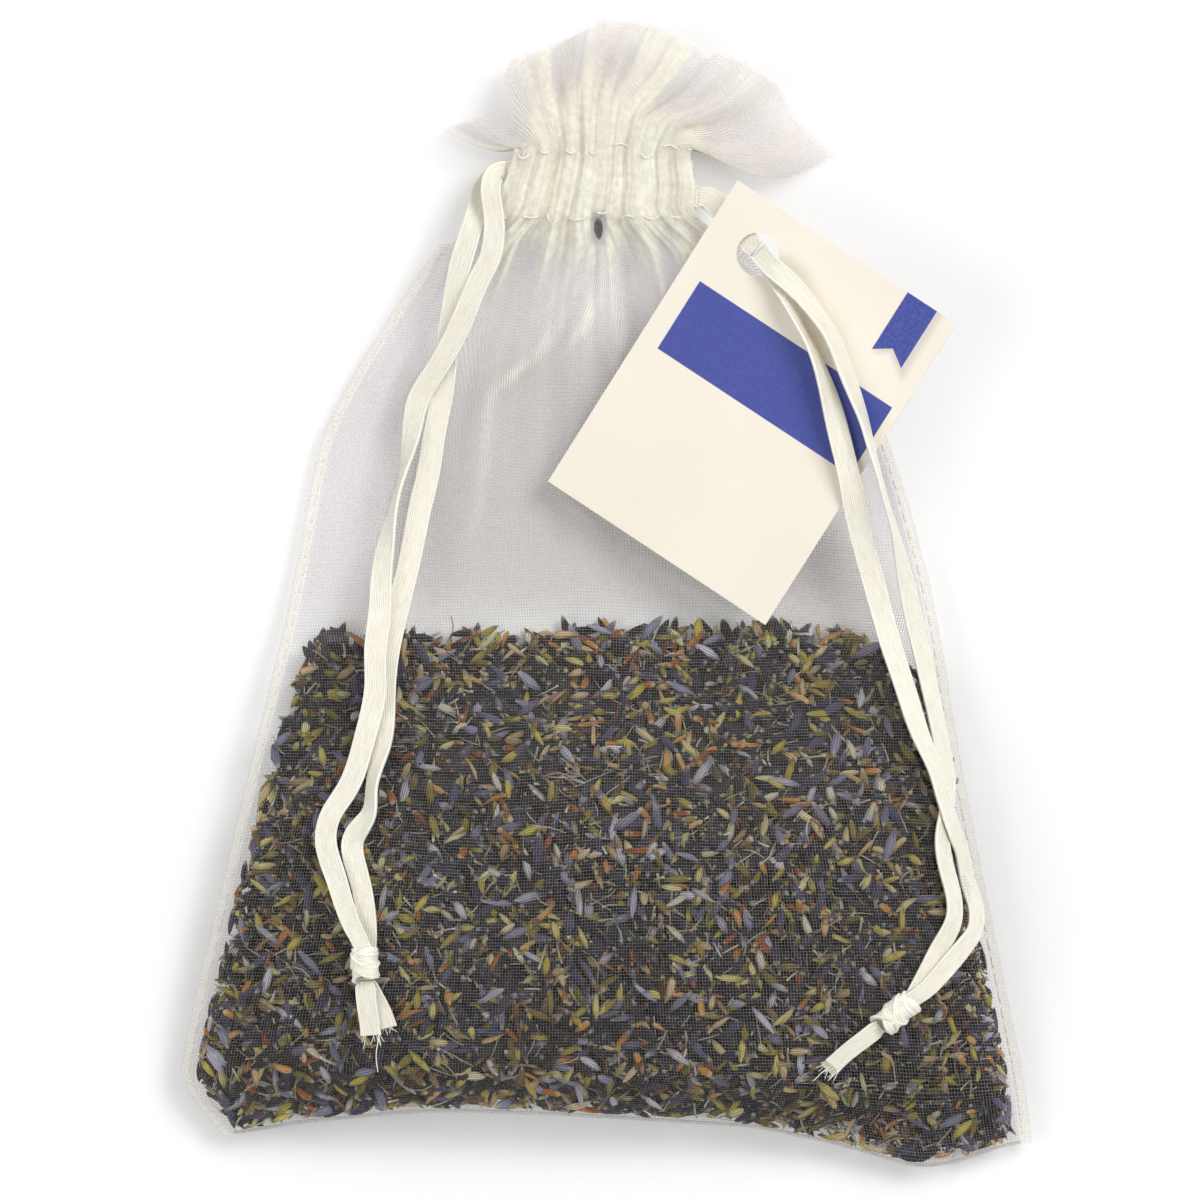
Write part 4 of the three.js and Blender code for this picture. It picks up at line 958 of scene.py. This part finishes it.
def heap_places(count, layer, seed):
    """Seeded places in the heap: even over its area, near the front or the back cloth, at its upper edge, or
    flat between the cloths along the bag's own edges."""
    source = np.random.default_rng(seed)
    tries = count * (24 if layer == "hem" else 3)
    px, py = source.uniform(*heap_x, tries), source.uniform(*heap_y, tries)
    u, v, edge = locate(px, py)
    keep = (edge > 0.75) & (py < heap_edge(px) + 0.6)
    if layer == "brow":
        keep &= py > heap_edge(px) - brow_depth
    if layer == "hem":
        keep &= (edge < hem_reach) & (py < heap_edge(px) - hem_below)
    u, v, px, py = (part[keep][:count] for part in (u, v, px, py))
    top, floor = heap_surface(u, v, px, py)
    depth = source.uniform(0, 1, len(u))
    z = {"front": top - 0.7 - 2.4 * depth**1.3, "back": floor + 0.8 + 2.2 * depth,
         "brow": mix(floor, top, 0.3 + 0.8 * depth),
         "hem": mix(sample(back_z, u, v), sample(front_z, u, v), 0.35 + 0.3 * depth)}[layer]
    aside, onward = heap_surface(u, v, px + 1, py)[0] - top, heap_surface(u, v, px, py + 1)[0] - top
    # the cloth's own slope there, over a hundredth of its width to either side and a row up and down
    left, right = (sample(front_z, np.clip(u + step, 0, 1), v) for step in (-0.01, 0.01))
    hundredths_apart = 2.1
    slope_x = (right - left) / hundredths_apart
    below = np.maximum(v - 1, 0)
    slope_y = (sample(front_z, u, v + 1) - sample(front_z, u, below)) / np.maximum(
        sample(y, u, v + 1) - sample(y, u, below), 0.3)
    normal = unit(np.stack([-slope_x - aside, -slope_y - onward, 1 + 0 * u], -1))
    if layer in ("back", "hem"):
        normal = np.broadcast_to([0.0, 0.0, 1.0], normal.shape)
    return np.stack([px, py, z], -1), normal


def settled(points):
    """Buds, each a row of points, moved up or down to lie clear between the two cloths, without those that
    have no room there or would stick out at an edge."""
    px, py, pz = (points[..., k] for k in range(3))
    u, v, edge = locate(px, py)
    over = (pz - sample(front_z, u, v)).max(1) + bud_clearance
    under = (sample(back_z, u, v) - pz).max(1) + bud_clearance
    shift = np.where(over > 0, -over, np.maximum(under, 0))
    room = (over + shift < 0.01) & (under - shift < 0.01) & (edge.min(1) > edge_clearance)
    return points[room] + np.array([0, 0, 1.0]) * shift[room, None, None]


def spindle(profile, sides=5):
    """A closed bud of length 1 along x: rings of the profile's radii between two points. Also its UV map."""
    places, radii = np.array(profile).T
    a = np.linspace(0, 2 * np.pi, sides, endpoint=False)
    inner = slice(1, len(places) - 1)
    rings = np.stack([np.repeat(places[inner], sides), np.outer(radii[inner], np.cos(a)).ravel(),
                      np.outer(radii[inner], np.sin(a)).ravel()], -1)
    points = np.concatenate([rings, [[places[0], 0, 0], [places[-1], 0, 0]]])
    count = len(rings)
    s = np.arange(sides)
    n = (s + 1) % sides
    low = np.stack([np.full(sides, count), n, s], -1)
    high = np.stack([np.full(sides, count + 1), s + count - sides, n + count - sides], -1)
    uv = np.stack([np.tile(a, len(places) - 2), np.repeat(places[inner], sides) + 0.5], -1)
    faces = [grid_faces(len(places) - 2, sides, True), low, high]
    return points, faces, np.concatenate([uv, [[0, 0], [0, 1]]])


def scatter(name, shape, places, normals, lengths, girths, finish, seed, tilt, bend, lying):
    """Copies of one bud shape on the places: length and girth of their own, any heading round the normal
    there, tilted a little out of the surface, and bowed by bend along their length. The last ones lie flat
    and slim."""
    source = np.random.default_rng(seed)
    points, faces, uv = shape
    count = len(places)
    heading, lean = source.uniform(0, 2 * np.pi, count), source.normal(0, tilt, count)
    flat = np.arange(count) >= count - lying
    lean = np.where(flat, 0.1 * lean, lean)
    base = unit(np.cross(normals, source.normal(size=(count, 3))))
    other = np.cross(normals, base)
    along = unit(base * np.cos(heading)[:, None] + other * np.sin(heading)[:, None] + normals * lean[:, None])
    wide = unit(np.cross(normals, along))
    high = np.cross(along, wide)
    long = source.uniform(*lengths, count)[:, None]
    girth = (source.uniform(*girths, count) * np.where(flat, 0.75, 1))[:, None]
    bow = source.normal(0, 1, count)[:, None] * bend * long
    local = points[None]
    all_points = (places[:, None] + (local[..., 0] * long)[..., None] * along[:, None]
                  + (local[..., 1] * girth + bow * (0.25 - local[..., 0]**2))[..., None] * wide[:, None]
                  + (local[..., 2] * girth * 0.85)[..., None] * high[:, None])
    all_points = settled(all_points)
    count = len(all_points)
    starts = (np.arange(count) * len(points))[:, None, None]
    sets = [(f[None] + starts).reshape(-1, f.shape[1]) for f in faces]
    tone = np.repeat(source.uniform(0, 1, count), len(points))
    return piece(name, all_points.reshape(-1, 3) * MM, sets, finish, "bag", np.tile(uv, (count, 1)),
                 {"tone": tone})


CALYX = [(-0.5, 0), (-0.36, 0.28), (-0.08, 0.5), (0.22, 0.44), (0.43, 0.2), (0.5, 0)]
PETAL = [(-0.5, 0), (-0.4, 0.22), (-0.1, 0.4), (0.2, 0.5), (0.42, 0.4), (0.5, 0)]
STRAW = [(-0.5, 0), (-0.49, 0.5), (-0.2, 0.42), (0.2, 0.45), (0.49, 0.5), (0.5, 0)]
HAIR = [(-0.5, 0), (-0.45, 0.5), (-0.25, 0.5), (0, 0.5), (0.25, 0.5), (0.45, 0.3), (0.5, 0)]
violet = bud_finish("violet_buds", [(0.0, "08070c"), (0.5, "1c1a2c"), (0.74, "4c496e"), (0.9, "a8a5c6"),
                                    (1.0, "f4f0f8")], "e6decc", 0.8)
olive = bud_finish("olive_buds", [(0.0, "4c4412"), (0.35, "a8962c"), (0.7, "f2dc54"), (1.0, "fff8bc")],
                   "efe6c0", 0.75)
rusty = bud_finish("rusty_petals", [(0.0, "54250a"), (0.35, "c0661c"), (0.7, "fab04c"), (1.0, "ffe4b4")],
                   "f0deb8", 0.85)
tan = bud_finish("tan_husks", [(0.0, "3a2a16"), (0.35, "9a7844"), (0.7, "f4d8a0"), (1.0, "fffaea")],
                 "fff6e0", 0.8)
pale = bud_finish("pale_husks", [(0.0, "d4c69c"), (0.5, "eee4c4"), (1.0, "fffbea")], "fbf4e0", 0.8, 3.0)
# Each kind of bud: name, shape, finish, share of the heap, lengths, girths, tilt and bend. Then each layer
# of the heap with its count
kinds = [
    ("violet_buds", CALYX, violet, 0.4, (3.0, 5.2), (0.9, 1.5), 0.3, 0.03),
    ("olive_buds", CALYX, olive, 0.17, (2.6, 4.4), (0.8, 1.3), 0.3, 0.06),
    ("rusty_petals", PETAL, rusty, 0.13, (2.0, 4.4), (0.5, 1.2), 0.4, 0.2),
    ("pale_husks", STRAW, pale, 0.14, (1.2, 3.6), (0.16, 0.4), 0.3, 0.25),
    ("bent_hairs", HAIR, pale, 0.1, (3.0, 6.5), (0.12, 0.22), 0.25, 0.5),
    ("tan_husks", CALYX, tan, 0.09, (2.2, 4.0), (0.8, 1.3), 0.3, 0.1),
]
layers = [("front", 6000), ("back", 2400), ("brow", 700), ("hem", 900)]
for k, (name, profile, finish, share, lengths, girths, tilt, bend) in enumerate(kinds):
    sets = [heap_places(int(count * share), layer, 60 + 7 * k + n) for n, (layer, count) in enumerate(layers)]
    places, normals = (np.concatenate(parts) for parts in zip(*sets))
    scatter(name, spindle(profile), places, normals, lengths, girths, finish, 80 + k, tilt, bend,
            len(sets[-1][0]))

# The dark core under the loose buds, painted near black for the shade deep in the heap: a lens between the
# cloths that thins to nothing at its rim
u, v = np.linspace(0.03, 0.97, 110)[None], np.linspace(0, 1, 80)[:, None]
u, v = u + 0 * v, v + 0 * u
hx = mix(*core_x, u)
for _ in range(3):
    hy = mix(sample(y, u, 0 * u) + heap_margin, heap_edge(hx) - 1, v)
    rows_v = row_at(u, hy)
    hx = sample(x, u, rows_v)
top, floor = heap_surface(u, rows_v, hx, hy)
rim = eased(0, 0.05, v) * eased(0, 0.05, 1 - v) * eased(0.03, 0.09, u) * eased(0.03, 0.09, 1 - u)
core_top, core_floor = top - core_under_top, floor + core_over_floor
middle, half = (core_top + core_floor) / 2, np.maximum((core_top - core_floor) / 2, 0.05) * rim
bumps = 0.35 * ripples(hx, hy, (3.5, 6.0), 77) * rim
upper = np.stack([hx, hy, middle + half + bumps], -1).reshape(-1, 3)
lower = np.stack([hx, hy, middle - half], -1).reshape(-1, 3)
faces = grid_faces(*hx.shape)
core = piece("painted_shade_deep_buds", np.concatenate([upper, lower]) * MM, [faces, faces[:, ::-1] + len(upper)],
             heap_finish(), "bag")
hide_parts("lavender_fill")


# Strays: a lone bud below the casing, and specks caught in the right seam: x, y, z, length, girth and heading
STRAYS = [(*lone_bud, 3.1, 1.2, 92), (43.4, -19.8, 5.9, 1.2, 0.6, 60), (44.3, -21.5, 5.7, 0.9, 0.6, 10),
          (44.1, -22.8, 5.8, 1.3, 0.5, 110), (44.9, -24.2, 5.8, 1.0, 0.7, 80),
          (44.6, -25.6, 5.8, 0.8, 0.5, 30)]
points, faces, stray_uv = spindle(CALYX, 8)
strays = []
for px, py, pz, long, girth, turn in STRAYS:
    run = np.array([math.cos(math.radians(turn)), math.sin(math.radians(turn))])
    flat = points[:, :1] * long * run + points[:, 1:2] * girth * run[::-1] * (-1, 1)
    strays.append((np.concatenate([flat + (px, py), points[:, 2:] * girth * 0.8 + pz], 1), faces))
points, faces = joined(strays)
piece("stray_buds", points * MM, faces, violet, "bag", np.tile(stray_uv, (len(STRAYS), 1)),
      {"tone": np.full(len(points), 0.1)})


# Card tag: the CAD's own card, with its bare printed shapes in its material
def card_finish():
    """Cream card with a bare blue band and a bare swallow-tailed flag, laid out in the card's own frame."""
    f = Finish("printed_card")
    local = f.add("Mapping", {"Vector": f.place(), "Location": tuple(a * MM for a in card_place),
                              "Rotation": tuple(math.radians(a) for a in card_turn)}, vector_type="TEXTURE")
    local_x, local_y = f.split(local)
    # shares across and down the card
    u = f.sum("DIVIDE", f.less(local_x, card_left * MM), card_width * MM)
    v = f.sum("DIVIDE", f.less(card_top * MM, local_y), card_length * MM)

    def inside(value, low, high, soft=0.0015):
        after = f.step(value, low - soft, low + soft)
        return f.times(after, f.step(value, high - soft, high + soft, 1.0, 0.0))

    band = f.times(inside(u, 0.084, 0.965), inside(v, 0.293, 0.517))
    tail = f.sum("MULTIPLY_ADD", f.sum("ABSOLUTE", f.less(u, 0.846)), 0.5, 0.154)
    flag_v = f.step(f.less(v, tail), -0.0015, 0.0015, 1.0, 0.0)
    flag = f.times(inside(u, 0.779, 0.913), flag_v)
    # a faint shade printed below the flag
    shadow = f.times(inside(u, 0.79, 0.94, 0.02), f.step(f.less(v, tail), 0.0, 0.03, 0.35, 0.0))
    fibre = f.noise(2500, 4.0)
    cloudy = f.noise(90, 3.0)
    cream = f.blend(cloudy, colour("f7f0e2"), colour("efe6d6"))
    cream = f.blend(f.step(fibre, 0.6, 0.75, 0.0, 0.25), cream, colour("ded3c0"))
    cream = f.blend(shadow, cream, colour("9a93a0"))
    blue = f.blend(f.step(fibre, 0.3, 0.7), colour("4a55a3"), colour("424d9b"))
    flag_blue = f.blend(f.step(fibre, 0.3, 0.7), colour("4c58a6"), colour("3a4694"))
    tone = f.blend(band, cream, blue)
    tone = f.blend(flag, tone, flag_blue)
    return f.done(Base_Color=tone, Roughness=f.step(cloudy, 0.3, 0.7, 0.5, 0.62), Specular_IOR_Level=0.4,
                  Normal=f.bump(fibre, 0.00003, 0.5))


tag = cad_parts["hang_tag"]
tag.data.materials.clear()
tag.data.materials.append(card_finish())


# Sewing: two rows of stitches round the gathers
def stitches(face, row, lift, seed, count):
    """Short bowed threads lying on the cloth along one row, each from a seeded start, with gaps between."""
    source = np.random.default_rng(seed)
    shapes = []
    for start in np.linspace(0.02, 0.98, count) + source.uniform(-0.012, 0.012, count):
        s = np.linspace(0, 1, 9)
        u = np.clip(start + s * source.uniform(0.045, 0.085), 0.01, 0.99)
        v = row + source.uniform(-1.2, 1.2) + np.sin(np.pi * s) * source.uniform(-2.2, 1.2)
        z = np.maximum(sample(face, u, v) + lift * np.sin(np.pi * s) ** 0.5, 0.2)
        path = np.stack([sample(x, u, v), sample(y, u, v), z], -1)
        shapes.append(round_thread(path, [0, 1.0, 0], stitch_radius))
    return shapes


low_row, high_row = hem_start, hem_start + casing_rows * steps
rows = (stitches(front_z, low_row, 0.3, 91, 9) + stitches(front_z, high_row, 0.3, 92, 8)
        + stitches(back_z, low_row, -0.3, 93, 9) + stitches(back_z, high_row, -0.3, 94, 8))
# and one row of small ones down each side seam
seam_stitch_inset, seam_stitch_lift = 1.05, 0.62
for edge in (0.0, 1.0):
    for start in np.linspace(0.03, 0.975, 74):
        along = start + np.linspace(0, 0.0085, 4)
        ex, ey = place_on_body(edge + 0 * along, along)
        bow = 0.12 * np.sin(np.linspace(0, np.pi, 4))
        path = np.stack([ex + (1 - 2 * edge) * seam_stitch_inset, ey,
                         side_height(ey) + seam_stitch_lift + bow], -1)
        rows.append(round_thread(path, [1.0, 0, 0], seam_stitch_radius))
points, faces = joined(rows)
piece("casing_stitches", points, faces, sewing_thread, "bag")


# Floor and light
def floor_finish():
    """Pale floor that is a fifth plain white to the camera, and keeps the object's shadow."""
    f = Finish("pale_floor")
    ray = f.add("LightPath", output=0)
    white = f.add("Emission", {"Color": (1, 1, 1, 1), "Strength": 1.0})
    f.done(Base_Color=(0.97, 0.97, 0.97, 1), Roughness=0.9)
    shown = f.add("MixShader", {0: f.times(ray, 0.2), 1: f.shader.outputs[0], 2: white})
    f.tree.links.new(shown, f.tree.nodes["Material Output"].inputs[0])
    return f.material


half, below = 3.0, -0.0003
corners = [(sx * half, sy * half, below) for sx, sy in ((-1, -1), (1, -1), (1, 1), (-1, 1))]
floor = piece("floor", np.array(corners), np.array([[0, 1, 2, 3]]), floor_finish(), None)

world = bpy.data.worlds.new("studio")
bpy.context.scene.world = world
world.use_nodes = True
sky = world.node_tree.nodes["Background"].inputs
sky["Color"].default_value = (1, 1, 1, 1)
sky["Strength"].default_value = 0.42


def lamp(name, place, size, power):
    """A square area light at a place, turned to the middle."""
    data = bpy.data.lights.new(name, "AREA")
    data.size, data.energy = size, power
    thing = bpy.data.objects.new(name, data)
    thing.location = place
    thing.rotation_euler = Vector(place).to_track_quat("Z", "Y").to_euler()
    bpy.context.scene.collection.objects.link(thing)


lamp("key", (0.55, 0.45, 0.9), 0.5, 8.3)
lamp("fill", (-0.7, -0.2, 0.8), 0.7, 3.7)
